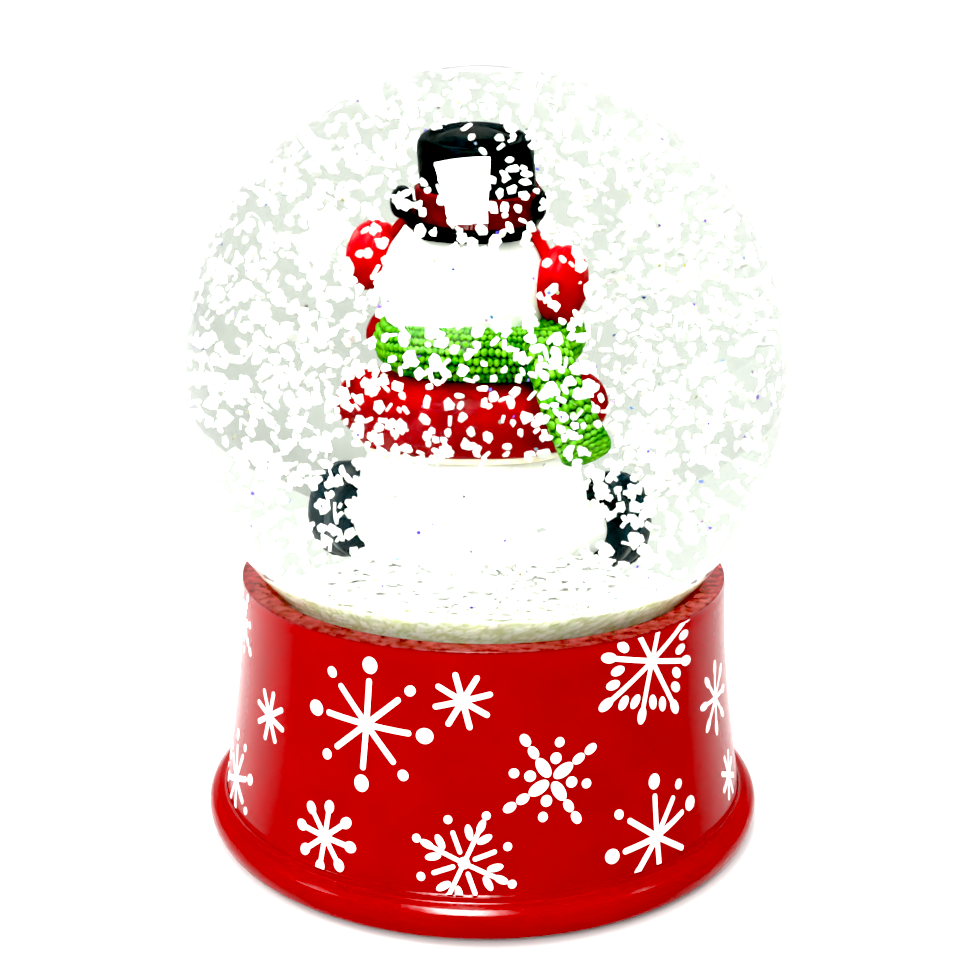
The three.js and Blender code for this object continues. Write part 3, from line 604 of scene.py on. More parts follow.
def snow_top(radius, angle):
    """Height of the settled snow at a radius and an angle about the ball's axis."""
    knots = [(0, 53.6), (14, 53.4), (20, 52.2), (25, 50.6), (32, 49.6), (40, 49.0)]
    for (r0, z0), (r1, z1) in zip(knots, knots[1:]):
        if radius <= r1:
            share = (radius - r0) / (r1 - r0)
            height = z0 + (z1 - z0) * share
            break
    else:
        height = knots[-1][1]
    spot = on_circle(radius, angle, 0)
    from_body = (spot - Vector((FIGURE_X, 0, 0))).length - 13.0
    drift = 1.5 * math.exp(-(from_body / 2.6) ** 2)
    return height + drift + 0.7 * noise.noise(spot / 6)


def make_mound():
    edge = 27.6
    rings = [[Vector((0, 0, MOUND_Z))]]
    sides = 160
    for r, z in [(24, MOUND_Z), (26.8, MOUND_Z + 0.3), (edge, 40), (edge, 44), (edge, 48)]:
        rings.extend(lathe([(r, z)], sides))
    for i in range(30):
        radius = edge * (1 - i / 30) - 0.2
        rings.append([on_circle(radius, a, snow_top(radius, a) - 0.35) for a in turns(sides)])
    rings.append([Vector((0, 0, MOUND_TOP_Z - 0.1))])
    rings = roughened(rings, 1.6, 0.28, 3.0)
    add_mesh("snow_field", *loft(rings), "snow_paint", "white_paint", ["snow_mound"])


def plates(point, size_mm):
    """0 in the seams between flat cells and 1 inside them."""
    near = noise.voronoi(point / size_mm)[0]
    return min(1.0, (near[1] - near[0]) / 0.35)


def make_bank():
    """Flakes packed between the mound and the glass."""
    sides = 420
    clearance = 0.35
    wall_r = BALL_R - GLASS_WALL - clearance
    inside_r = 26.9
    profile = []
    for i in range(22):
        z = 40.5 + (SNOW_EDGE_Z - 40.5) * i / 21
        profile.append((sphere_r(wall_r, z), z))
    edge_r = profile[-1][0]
    for i in range(1, 20):
        profile.append((edge_r + (inside_r - edge_r) * i / 19, None))
    rings, relief = [], []
    for radius, z in profile:
        ring = []
        for angle in turns(sides):
            height = z if z is not None else snow_top(radius, angle)
            point = on_circle(radius, angle, height)
            raised = plates(point, 1.5)
            relief.append(raised)
            outward = Vector((point.x, point.y, 0)).normalized()
            lift = outward if z is not None else UP
            ring.append(point - lift * (0.3 * (1 - raised)))
        rings.append(ring)
    rings.append(lathe([(inside_r, 40.5)], sides)[0])
    relief.extend([0.5] * sides)
    piece = add_mesh("settled_bank", *loft(rings, closed=True), "bank")
    set_relief(piece, relief)


def flake_corners(rng, size):
    """An irregular flat flake: corners of its outline in its own plane."""
    count = rng.choice([5, 5, 6, 6, 7])
    stretch = rng.uniform(0.66, 1.0)
    start = rng.uniform(0, math.tau)
    corners = []
    for k in range(count):
        angle = start + math.tau * (k + rng.uniform(-0.28, 0.28)) / count
        reach = size * rng.uniform(0.78, 1.1)
        corners.append((reach * math.cos(angle), reach * stretch * math.sin(angle)))
    return corners


def add_flake(points, faces, corners, thick, turn, at):
    base = len(points)
    count = len(corners)
    for side in (-thick / 2, thick / 2):
        points.extend([turn @ Vector((x, y, side)) + at for x, y in corners])
    faces.append([base + k for k in reversed(range(count))])
    faces.append([base + count + k for k in range(count)])
    for k in range(count):
        after = (k + 1) % count
        faces.append([base + k, base + after, base + count + after, base + count + k])


def in_figure(p):
    """True near the snowman, whose parts the loose flakes keep clear of."""
    x, y, z = p.x - FIGURE_X, p.y, p.z
    reach = math.hypot(x, y)
    lumps = [
        (reach < 16.2 and z < 68),
        (reach < 17.8 and 66 < z < 80.4),
        (reach < 19.0 and 77.5 < z < 87),
        ((p - HEAD).length < HEAD_R + 1.2),
        (math.hypot(p.x - HAT_X, y) < 10.9 and HAT_Z - 1.5 < z < HAT_Z + 13.6),
    ]
    for side in (-1, 1):
        muff = HEAD + HEAD_TURN @ Vector((side * EAR_REACH, 0, EAR_LIFT))
        lumps.append((p - muff).length < 6.2)
        lumps.append(Vector((x - side * 13, (y - 7) * 0.5, z - 72)).length < 8)
        lumps.append(Vector((x - side * 15.5, y - 12.5, z - 59)).length < 8)
    lumps.append(Vector((x - 14.6, (y + 14.6) * 1.4, (z - 74) * 0.55)).length < 5)
    return any(lumps)


def random_turn(rng):
    """A sinking flake's attitude. More of them face forwards or backwards than sideways."""
    facing = Vector((rng.gauss(0, 1), rng.gauss(0, 1.5), rng.gauss(0, 1))).normalized()
    lean = UP.rotation_difference(facing).to_matrix()
    return lean @ Matrix.Rotation(rng.uniform(0, math.tau), 3, "Z")


def make_loose_snow():
    rng = random.Random(20)
    reach = BALL_R - GLASS_WALL - 1.1
    for name, look, count, thick, sizes in (
        ("loose_flakes", "flake", 4100, 0.35, (0.52, 1.1)),
        ("loose_glitter", "glitter", 260, 0.06, (0.24, 0.34)),
    ):
        points, faces = [], []
        made = 0
        while made < count:
            at = Vector([rng.uniform(-reach, reach) for _ in range(3)])
            spot = at + Vector((0, 0, BALL_Z))
            ground = snow_top(math.hypot(at.x, at.y), math.atan2(at.y, at.x)) + 0.8
            clump = 0.5 + 0.5 * noise.noise(spot / 9)
            if at.length > reach or not ground < spot.z < WATER_TOP_Z - 1.2:
                continue
            if rng.random() > 0.35 + clump:
                continue
            if in_figure(spot):
                continue
            corners = flake_corners(rng, rng.uniform(*sizes))
            add_flake(points, faces, corners, thick, random_turn(rng), spot)
            made += 1
        add_mesh(name, points, faces, look, smooth=False)


def make_settled_flakes():
    """Flakes that have come to rest on the mound and along the glass."""
    rng = random.Random(31)
    points, faces = [], []
    for _ in range(2200):
        radius = 37.2 * math.sqrt(rng.uniform(0.09, 1))
        angle = rng.uniform(0, math.tau)
        top = snow_top(radius, angle)
        if radius > sphere_r(BALL_R - GLASS_WALL - 1, top):
            continue
        at = on_circle(radius, angle, top + rng.uniform(0, 0.3))
        turn = Matrix.Rotation(rng.uniform(0, math.tau), 3, "Z")
        tilt_axis = Vector((rng.gauss(0, 1), rng.gauss(0, 1), 0)).normalized()
        tilt = Matrix.Rotation(rng.gauss(0, 0.35), 3, tilt_axis)
        corners = flake_corners(rng, rng.uniform(0.6, 1.1))
        add_flake(points, faces, corners, 0.25, tilt @ turn, at)
    add_mesh("settled_flakes", points, faces, "flake", smooth=False)


# ---------------------------------------------------------------- snowman


def make_body():
    low, high = box_mm("lower_body")
    knots = [
        (0, low.z - 0.6), (8, low.z - 0.6), (11.7, low.z + 0.4), (13.2, 55.6), (14.4, 60.5),
        (14.1, 64), (12.6, high.z), (9, high.z + 1.2), (0, high.z + 1.2),
    ]
    profile = [tuple(p) for p in smooth_profile(knots, 6)]
    rings = roughened(lathe(profile, 96, (FIGURE_X, 0)), 5, 0.2, 5.0)
    rings = roughened(rings, 1.5, 0.06, 2.0)
    add_mesh("resin_body", *loft(rings), "snow_paint", "white_paint", ["lower_body"])


def coat_fold(angle):
    return math.sin(9 * angle + 1.5 * math.sin(2 * angle))


def make_coat():
    knots = [
        (0, HEM_Z), (11, HEM_Z), (HEM_R - 0.3, HEM_Z + 0.1), (14.9, HEM_Z + 1.3), (15.7, 72.2),
        (15.6, 74.4), (14.2, 76.6), (11.2, 78.4), (7, 79.2), (0, 79.2),
    ]
    profile = [tuple(p) for p in smooth_profile(knots, 5)]

    def folded(p):
        angle = math.atan2(p.y, p.x - FIGURE_X)
        return p + heading(angle) * (0.3 * clamp((77 - p.z) / 8) * coat_fold(angle))

    rings = moved(lathe(profile, 120, (FIGURE_X, 0)), folded)
    collar = ball_rings((1.5, 2.6, 2.6), 20, 14, about_y(0.5), (-13.1, 3.2, 83.2))
    melted("resin_coat", [rings, collar], 0.3, "red_paint", "red_paint", ["coat"], 6)
    hem = []
    for angle in turns(160):
        outward = heading(angle)
        reach = HEM_R - 0.35 + 0.3 * coat_fold(angle)
        middle = Vector((FIGURE_X, 0, HEM_Z)) + outward * reach
        hem.append([
            middle + outward * 0.6 * math.cos(a) + Vector((0, 0, 0.5 * math.sin(a)))
            for a in turns(10)
        ])
    add_mesh("coat_hem", *loft(hem, closed=True), "hem")


def make_arms():
    for word, side in SIDES:
        shoulder = Vector((FIGURE_X + side * 12.8, -0.5, 74.2))
        elbow = Vector((FIGURE_X + side * 12.6, 7.2, 72.4))
        wrist = Vector((FIGURE_X + side * 9.4, 13.8, 70.6))
        path = smooth_profile([shoulder, elbow, wrist], 8)
        widths = [4.2 - 0.9 * i / (len(path) - 1) for i in range(len(path))]
        arm = tube_rings(path, widths, 24)
        cap = ball_rings((4.4, 4.5, 4.3), 24, 14, at=shoulder)
        cuff = tube_rings([path[-1], wrist + Vector((-side * 0.5, 0.8, -0.1))], [3.9, 3.9], 24)
        name = f"resin_sleeve_{word}"
        melted(name, [arm, cap, cuff], 0.28, "red_paint", "red_paint", [f"sleeve_{word}"], 8)
        palm = ball_rings((3.2, 3.1, 3.4), 24, 16, at=(FIGURE_X + side * 8.6, 17.3, 69.5))
        thumb = ball_rings(
            (1.2, 1.2, 2.1), 16, 10, about_y(side * 0.4),
            (FIGURE_X + side * 6.1, 17.7, 71.1),
        )
        name = f"resin_mitten_{word}"
        melted(name, [palm, thumb], 0.25, "boot_paint", "black_paint", [f"mitten_{word}"])


def make_legs():
    """Legs run from under the body into the boots, whose undersides lie in the snow."""
    for word, side, sunk in (("left", -1, 0.9), ("right", 1, 2.0)):
        middle = centre_of(f"boot_{word}")
        down = Vector((0, 0, -sunk))
        hip = Vector((middle.x - side * 6.4, 4.6, 58.8)) + down
        ankle = Vector((middle.x - side * 1.6, 12.2, 58.9)) + down
        path = smooth_profile([hip, (hip + ankle) / 2, ankle], 4)
        leg = tube_rings(path, [3.5] * len(path), 28)
        add_mesh(f"resin_leg_{word}", *loft(roughened(leg, 3, 0.1)), "snow_paint",
                 "white_paint", [f"leg_{word}"])
        lean = about_y(side * 0.16)
        out = Vector((side * 0.4, 0.92, 0)).normalized()
        foot_at = Vector((middle.x + side * 0.6, 15.2, 59.4)) + down
        foot = ball_rings((4.7, 3.5, 5.7), 28, 18, lean, foot_at)
        heel = ball_rings((4.4, 3.2, 3.2), 24, 14, at=foot_at - Vector((side * 0.9, 0, 2.4)))
        start = Vector((middle.x - side * 1.9, 9.8, 58.9)) + down
        cuff = tube_rings([start, start + out * 0.9, start + out * 4], [5.0, 5.2, 4.6], 28)
        sole = ball_rings((4.4, 1.0, 5.8), 28, 14, lean, foot_at + Vector((side * 0.3, 2.7, -0.4)))
        melted(f"resin_boot_{word}", [foot, heel, cuff, sole], 0.3, "boot_paint",
               "black_paint", [f"boot_{word}"], 8)


def bead_height(across, along):
    """Relief of seed stitch: round beads in rows, every other row shifted by half a bead."""
    pull = noise.noise(Vector((across * 0.22, along * 0.22, 0)))
    across, along = across + 0.35 * pull, along + 0.3 * pull
    row = math.floor(along)
    shift = 0.5 if row % 2 else 0.0
    dx = (across + shift) % 1.0 - 0.5
    dy = along - row - 0.5
    fall = 1 - (dx * dx + dy * dy) / 0.27
    return math.sqrt(fall) if fall > 0 else 0.0


def make_scarf():
    around_n, section_n = 700, 130
    beads_round, rows_round = 92, 19
    lift = 0.5
    rings, relief = [], []
    for i in range(around_n):
        angle = math.tau * i / around_n
        outward = heading(angle)
        sag = 0.5 * math.sin(angle * 3 + 0.7)
        ring = []
        for k in range(section_n):
            lean = math.tau * k / section_n
            height = bead_height(beads_round * i / around_n, rows_round * k / section_n)
            thick = SCARF_THICK_R - 0.35 + lift * height + 0.25 * math.sin(2 * angle + lean)
            ring.append(Vector((SCARF_X, 0, SCARF_Z + sag * 0.6)) + outward * (
                SCARF_RING_R + thick * math.cos(lean)
            ) + Vector((0, 0, thick * 1.02 * math.sin(lean))))
            relief.append(height)
        rings.append(ring)
    piece = add_mesh("resin_scarf", *loft(rings, closed=True), "knit", "green_paint",
                     ["scarf_wrap"])
    set_relief(piece, relief)
    make_scarf_tail(lift)


def make_scarf_tail(lift):
    """The loose end: knitted at the top, smoother and rounded at its end."""
    path = smooth_profile([
        (7.6, -9.2, 84.0), (8.6, -12.6, 81.4), (10.2, -14.7, 77.2), (12.0, -15.7, 73.2),
        (13.1, -15.9, 71.0), (13.7, -15.9, 69.4),
    ], 24)
    length = len(path) - 1
    facing = Vector((0.35, -0.93, 0.1))
    rings, relief = [[path[0]]], [0.0]
    section_n = 96
    for i, point in enumerate(path):
        along = (path[min(i + 1, length)] - path[max(i - 1, 0)]).normalized()
        side = along.cross(facing).normalized()
        up = side.cross(along).normalized()
        share = i / length
        end = math.sqrt(max(1 - max(0.0, (share - 0.8) / 0.2) ** 2, 0.01))
        half_w = (2.9 + 0.8 * share) * end
        half_t = (1.7 - 0.5 * share) * math.sqrt(end)
        knit = lift * (0.95 - 0.7 * clamp((share - 0.55) / 0.3))
        ring = []
        for lean in turns(section_n):
            flat = Vector((math.cos(lean), math.sin(lean)))
            flat = flat / (abs(flat.x) ** 3 + abs(flat.y) ** 3) ** (1 / 3)
            height = bead_height(flat.x * 3.2 + 10, share * 18 + (0.5 if flat.y > 0 else 0))
            ring.append(point + side * (half_w * flat.x) + up * ((half_t + knit * height) * flat.y))
            relief.append(height * (0.35 + 0.65 * knit / lift) + 0.35 * (1 - knit / lift))
        rings.append(ring)
    rings.append([path[-1]])
    relief.append(0.3)
    piece = add_mesh("resin_scarf_tail", *loft(rings), "knit", "green_paint", ["scarf_tail"])
    set_relief(piece, relief)


def make_head():
    rings = ball_rings((HEAD_R, HEAD_R, HEAD_R), 96, 64, HEAD_TURN, HEAD)
    rings = roughened(rings, 6, 0.3, 1.0)
    add_mesh("resin_head", *loft(roughened(rings, 1.4, 0.07)), "snow_paint", "white_paint",
             ["head"])
    for word, side in SIDES:
        tall = 4.5 if side < 0 else 5.1
        middle = Vector((side * EAR_REACH, 0, EAR_LIFT - 0.4))

        def grooved(p):
            narrow = 1 - 0.07 * math.exp(-((p.x + side * 0.4) / 0.45) ** 2)
            return HEAD_PLACE @ (Vector((p.x, p.y * narrow, p.z * narrow)) + middle)

        turned = about_y(math.pi / 2)
        rings = moved(ball_rings((tall, 4.7, 3.4), 64, 44, turned), grooved)
        add_mesh(f"resin_earmuff_{word}", *loft(roughened(rings, 2.4, 0.16, side)), "ear_paint",
                 "red_paint", [f"earmuff_{word}"])
    strap_r = HEAD_R + 0.55
    path = []
    for i in range(49):
        angle = math.radians(20 + 140 * i / 48)
        path.append(Vector((strap_r * math.cos(angle), 0, strap_r * math.sin(angle))))
    band = tube_rings(path, [1.35] * len(path), 20, 0.5, lambda p: Vector((p.x, 0, p.z)))
    band = moved(band, lambda p: HEAD_PLACE @ p)
    add_mesh("resin_earmuff_band", *loft(band), "ear_paint", "red_paint", ["earmuff_band"])
    make_face()


def make_face():
    """A plain snowman's face: carrot nose, coal eyes and a row of small coals."""
    carrot = []
    for i in range(40):
        t = i / 39
        thick = 1.6 * (1 - t) ** 0.8 + 0.12 + 0.06 * math.sin(t * 34) * (1 - t)
        carrot.append([
            HEAD_PLACE @ Vector((
                thick * math.cos(a), HEAD_R - 0.6 + 6.2 * t,
                -0.4 + 0.5 * t * t + thick * math.sin(a),
            )) for a in turns(28)
        ])
    tip = HEAD_PLACE @ Vector((0, HEAD_R + 5.75, 0.1))
    root = HEAD_PLACE @ Vector((0, HEAD_R - 0.7, -0.4))
    add_mesh("resin_nose", *loft([[root], *carrot, [tip]]), "orange_paint", "orange_paint",
             ["nose"])
    for word, side in SIDES:
        spot = HEAD_PLACE @ Vector((side * 3.4, HEAD_R - 0.5, 2.6))
        rings = roughened(ball_rings((1.1, 0.8, 1.1), 32, 20, None, spot), 0.7, 0.12, side * 2)
        add_mesh(f"resin_eye_{word}", *loft(rings), "black_paint", "black_paint",
                 [f"eye_{word}"])
    points, faces = [], []
    for i in range(5):
        angle = math.radians(-90 + (i - 2) * 15)
        spot = Vector((4.6 * math.cos(angle), 0, 0.3 + 4.6 * math.sin(angle)))
        spot.y = math.sqrt(HEAD_R ** 2 - spot.x ** 2 - spot.z ** 2) + 0.05
        coal = ball_rings((0.5, 0.4, 0.5), 16, 10, None, HEAD_PLACE @ spot)
        append_part(points, faces, loft(roughened(coal, 0.5, 0.06, i)))
    add_mesh("resin_smile", points, faces, "black_paint", "black_paint")


def crown_shift(z):
    """The crown stands off the brim's middle and leans back over it."""
    return Vector((1.05 - 0.07 * (z - HAT_Z), 0, 0))


def make_hat():
    brim_r, brim_t, crown_r, crown_h = 9.8, 1.3, 7.25, 12.0
    knots = rounded([
        (crown_r - 0.5, 0.2, 0), (crown_r + 0.1, 1.0, 0.5), (crown_r + 0.05, 6, 2.0),
        (crown_r + 0.2, crown_h - 0.7, 2.0), (crown_r - 1.6, crown_h + 0.1, 1.2),
    ], 6)
    profile = [(0, 0.2), *knots, (3, crown_h + 0.2), (0, crown_h + 0.25)]
    foot = Vector((0, 0, HAT_Z))
    crown = moved(lathe(profile, 96, (HAT_X, 0)), lambda p: p + crown_shift(p.z + HAT_Z) + foot)
    disc = rounded([
        (6.2, -0.1, 0), (8.2, -0.1, 0.6), (brim_r, -0.3, 0.8), (brim_r + 0.1, brim_t + 0.2, 0.8),
        (8.6, brim_t, 0.6), (6.2, brim_t, 0),
    ], 5)

    def rolled(p):
        x, y = p.x - HAT_X, p.y
        reach = max(0.0, abs(x) - 6.2) / (brim_r - 6.2)
        edge = clamp((math.hypot(x, y) - 7.4) / 2.4)
        edge = edge * edge * (3 - 2 * edge)
        lift = 3.0 * reach ** 1.3 * edge
        inward = math.copysign(0.5 * reach * edge, x)
        return Vector((p.x - inward, y, p.z + lift + HAT_Z))

    brim = moved(lathe([(0, -0.1), *disc, (0, brim_t)], 128, (HAT_X, 0)), rolled)
    curls = [
        ball_rings((1.5, 4.4, 1.9), 24, 16, about_y(0.2),
                   (HAT_X - 8.9, -0.4, HAT_Z + 3.3)),
        ball_rings((1.3, 4.6, 2.0), 24, 16, about_y(-0.2),
                   (HAT_X + 8.1, -0.4, HAT_Z + 3.2)),
    ]
    melted("resin_hat", [crown, brim, *curls], 0.24, "black_paint", "black_paint",
           ["top_hat"], 6)
    low, high = HAT_Z + brim_t - 0.2, HAT_Z + brim_t + 3.9
    outline = rounded([
        (crown_r - 0.3, low, 0), (crown_r + 0.75, low, 0.4),
        (crown_r + 0.55, (low + high) / 2, 1.0), (crown_r + 0.75, high, 0.4),
        (crown_r - 0.3, high, 0),
    ], 4)

    def wrapped(p):
        angle = math.atan2(p.y, p.x - HAT_X)
        crease = 0.08 * math.sin(14 * angle + p.z * 2.2)
        sway = Vector((0, 0, 0.15 * math.sin(2 * angle)))
        return p + heading(angle) * crease + crown_shift(p.z) + sway

    band = moved(lathe(outline, 128, (HAT_X, 0)), wrapped)
    add_mesh("resin_hat_band", *loft(band, closed=True), "band", "dark_red_paint", ["hat_band"])


# ---------------------------------------------------------------- base


def cove_radius(z):
    down = max(0.0, RIM_Z - z) / (RIM_Z - JUNCTION_Z)
    return RIM_R + (JUNCTION_R - RIM_R) * down ** COVE_POWER


def make_base():
    def seat_r(z):
        return sphere_r(BALL_R, z) + 0.15

    lip_r = seat_r(RIM_Z)
    foot = rounded([
        (CAVITY_R, 0.5, 0.3), (46.9, 0.5, 0.5), (48.2, 1.4, 0.8), (48.8, 3.4, 1.3),
        (48.45, 4.9, 0.9), (47.2, 5.75, 0.3), (JUNCTION_R + 0.2, 6.0, 0.5),
        (JUNCTION_R, JUNCTION_Z + 0.2, 0.3),
    ], 5)
    wall = []
    for i in range(1, 40):
        z = JUNCTION_Z + 0.3 + (RIM_Z - 0.7 - JUNCTION_Z) * i / 40
        wall.append((cove_radius(z), z))
    top = rounded([
        (RIM_R, RIM_Z, 0.45), (lip_r + 0.5, RIM_Z, 0.3), (lip_r, RIM_Z - 0.4, 0.1),
        (seat_r(RIM_Z - 1.2), RIM_Z - 1.2, 0), (seat_r(RIM_Z - 2.2), RIM_Z - 2.2, 0),
        (CUP_R, RIM_Z - 3.1, 0.3), (CUP_R, CUP_FLOOR_Z, 0.8),
    ], 5)
    profile = [
        (0, CAVITY_TOP_Z), (CAVITY_R - 1.5, CAVITY_TOP_Z), (CAVITY_R, CAVITY_TOP_Z - 1.5),
        *foot, *wall, *top, (0, CUP_FLOOR_Z),
    ]
    add_mesh("lacquered_base", *loft(lathe(profile, 256)), "lacquer", "red_lacquer",
             ["base_shell"])


# Printed snowflakes. A mark is a bar or an oval in the flake's own plane, in millimetres.


def bar(angle, start, end, half_width):
    middle, half = (start + end) / 2, (end - start) / 2
    straight = max(half - half_width, 0)
    count = max(2, math.ceil(2 * straight / 0.8))
    rows = [(-straight - half_width * math.cos(math.radians(a)),
             half_width * math.sin(math.radians(a))) for a in (12, 35, 62)]
    rows += [(-straight + 2 * straight * i / count, half_width) for i in range(count + 1)]
    rows += [(-t, w) for t, w in reversed(rows[:3])]
    return angle, middle, 0.0, angle, rows


def oval(angle, distance, half_length, half_width, lean=0.0, aside=0.0):
    rows = []
    for i in range(13):
        turn = math.radians(8 + 164 * i / 12)
        rows.append((-half_length * math.cos(turn), half_width * math.sin(turn)))
    return angle, distance, aside, angle + lean, rows


def spokes(reach, half_width):
    return [bar(45 * k, 0, reach, half_width) for k in range(8)]


def plain_star(r):
    return spokes(r, 0.45)


def burst_star(r, wander=(0, 0, 0, 0, 0, 0, 0, 0)):
    marks = []
    for k in range(8):
        angle = 45 * k + wander[k]
        dot = (0.095 if k % 2 else 0.142) * r
        marks += [bar(angle, 0, 0.78 * r, 0.47), oval(angle, r, dot, dot * 0.92)]
    return marks


def uneven_star(r):
    """Crooked arms. The three lowest, which run into the ledge, have no dot."""
    marks = burst_star(r, (16, 3, -3, 6, 4, -2, -2, 10))
    return [mark for i, mark in enumerate(marks) if i not in (11, 13, 15)]


def ball_star(r):
    return spokes(0.9 * r, 0.42) + [oval(45 * k, 0.88 * r, 0.19 * r, 0.16 * r) for k in range(8)]


def bulb_star(r):
    return spokes(0.9 * r, 0.34) + [oval(45 * k, 0.8 * r, 0.22 * r, 0.105 * r) for k in range(8)]


def leaf_star(r):
    marks = []
    for k in range(8):
        reach = r if k % 2 else 0.84 * r
        marks += [bar(45 * k, 0, 0.9 * reach, 0.42),
                  oval(45 * k, 0.88 * reach, 0.12 * r, 0.072 * r)]
        marks += [oval(45 * k, 0.66 * reach, 0.105 * r, 0.066 * r, side * 24, side * 0.16 * r)
                  for side in (-1, 1)]
    return marks


def bead_star(r):
    # (turn, distance, half length, half width), the last three as shares of the reach
    beads = [(45, 0.27, 0.21, 0.115), (45, 0.62, 0.13, 0.09), (45, 0.9, 0.13, 0.09),
             (0, 0.4, 0.108, 0.104), (0, 0.7, 0.094, 0.09)]
    return [oval(90 * k + turn, *(share * r for share in shares))
            for k in range(4) for turn, *shares in beads]


def sprig_star(r):
    marks = [oval(0, 0, 0.11 * r, 0.11 * r)]
    for k in range(4):
        main = 90 * k + 45
        marks += [bar(main, 0, 0.7 * r, 0.34), oval(main, 0.74 * r, 0.14 * r, 0.07 * r),
                  oval(main, 0.96 * r, 0.08 * r, 0.08 * r)]
        marks += [oval(main, 0.55 * r, 0.15 * r, 0.07 * r, side * 36, side * 0.155 * r)
                  for side in (-1, 1)]
        marks += [bar(90 * k, 0.17 * r, 0.63 * r, 0.36), oval(90 * k, 0.84 * r, 0.08 * r, 0.08 * r)]
    return marks


# (azimuth from the front in degrees, height, reach, tilt in degrees, kind), twice round the base
PRINT = [
    (-53.2, 27.0, 4.5, 32, plain_star), (-24.5, 31.6, 9.4, -3, burst_star),
    (-4.1, 36.9, 4.6, 15, plain_star), (-33.0, 12.3, 5.5, -5, ball_star),
    (38.2, 39.7, 11.6, -15, leaf_star), (13.8, 24.3, 8.3, -14, bead_star),
    (37.4, 11.5, 8.8, 1, uneven_star), (63.9, 27.5, 6.3, 41, bulb_star),
    (68.6, 12.4, 4.2, 20, plain_star), (-3.5, 12.0, 8.3, 21, sprig_star),
    (-68.2, 11.5, 7.2, 22, burst_star), (-73.0, 38.2, 7.0, 10, bead_star),
    (91.0, 34.0, 8.6, 8, burst_star), (94.0, 13.5, 6.6, 30, sprig_star),
]
PRINT_TURN = 180


def add_mark(points, faces, mark, tilt, ink):
    """A mark as a thin closed prism in the flake's plane: x, y, and 0 or 1 for its two skins."""
    angle, distance, aside, lean, rows = mark
    angle, lean = math.radians(angle + tilt), math.radians(lean + tilt)
    middle = Vector((
        distance * math.cos(angle) - aside * math.sin(angle),
        distance * math.sin(angle) + aside * math.cos(angle),
    ))
    along = Vector((math.cos(lean), math.sin(lean)))
    across = Vector((-along.y, along.x))
    rings = []
    for t, half in rows:
        ring = []
        for share, skin in ((-1, 0), (0, 0), (1, 0), (1, ink), (0, ink), (-1, ink)):
            spot = middle + along * t + across * (half * share)
            ring.append(Vector((spot.x, spot.y, skin)))
        rings.append(ring)
    first = len(points)
    append_part(points, faces, loft(rings))
    faces.append([first + k for k in reversed(range(6))])
    faces.append([len(points) - 6 + k for k in range(6)])


def print_flake(shaped, azimuth, height, marks, tilt):
    """Cuts a flake off at the wall's two ends and wraps it round the wall. Neighbouring
    marks differ in thickness by a step, so that few crossing skins lie in one plane."""
    sunk, ink_depth, step = 0.05, 0.09, 0.003
    points, faces = [], []
    for i, mark in enumerate(marks):
        add_mark(points, faces, mark, tilt, ink_depth + step * (i % 12))
    flat = bmesh.new()
    corners = [flat.verts.new(p) for p in points]
    for face in faces:
        flat.faces.new([corners[i] for i in face])
    for limit, way in ((RIM_Z - 0.5 - height, 1), (JUNCTION_Z + 0.45 - height, -1)):
        whole = flat.verts[:] + flat.edges[:] + flat.faces[:]
        bmesh.ops.bisect_plane(
            flat, geom=whole, plane_co=(0, limit, 0), plane_no=(0, way, 0), clear_outer=True,
        )
        open_edges = [e for e in flat.edges if e.is_boundary]
        if open_edges:
            bmesh.ops.holes_fill(flat, edges=open_edges)
    for vert in flat.verts:
        z = height + vert.co.y
        radius = cove_radius(z) - sunk + vert.co.z
        turn = math.radians(azimuth) + vert.co.x / radius
        vert.co = Vector((radius * math.sin(turn), -radius * math.cos(turn), z)) * MM
    scratch = bpy.data.meshes.new("flat_flake")
    flat.to_mesh(scratch)
    flat.free()
    shaped.from_mesh(scratch)
    bpy.data.meshes.remove(scratch)


def make_print():
    shaped = bmesh.new()
    for start in (0, PRINT_TURN):
        for azimuth, height, reach, tilt, kind in PRINT:
            print_flake(shaped, azimuth + start, height, kind(reach), tilt)
    bmesh.ops.recalc_face_normals(shaped, faces=shaped.faces)
    mesh = bpy.data.meshes.new("printed_snowflakes")
    shaped.to_mesh(mesh)
    shaped.free()
    dress(place_mesh("printed_snowflakes", mesh), "print", smooth=False)


# ---------------------------------------------------------------- underside


def make_underside():
    low, high = box_mm("base_plate")
    outer = high.x
    ribs = [(outer - 0.6, low.z, 0.4)]
    for radius in (30.5, 20.5):
        ribs += [
            (radius + 0.9, low.z, 0.2), (radius + 0.6, low.z - 0.5, 0.2),
            (radius - 0.6, low.z - 0.5, 0.2), (radius - 0.9, low.z, 0.2),
        ]
    profile = [
        (0, high.z), *rounded([(outer, high.z, 0.3), (outer, low.z + 0.3, 0.3), *ribs], 3),
        (0, low.z),
    ]
    add_mesh("moulded_plate", *loft(lathe(profile, 160)), "plate", "black_plastic",
             ["base_plate"])
    for i in range(1, 5):
        low, high = box_mm(f"foot_{i}")
        middle, radius = (low + high) / 2, (high.x - low.x) / 2
        profile = rounded([
            (radius, high.z, 0.2), (radius, low.z + 0.1, 0.45), (radius - 0.7, low.z, 0.3),
            (radius - 1.1, low.z + 0.2, 0.2),
        ], 4)
        rings = lathe([(0, high.z), *profile, (0, low.z + 0.2)], 48, (middle.x, middle.y))
        add_mesh(f"rubber_foot_{i}", *loft(rings), "rubber", "rubber", [f"foot_{i}"])


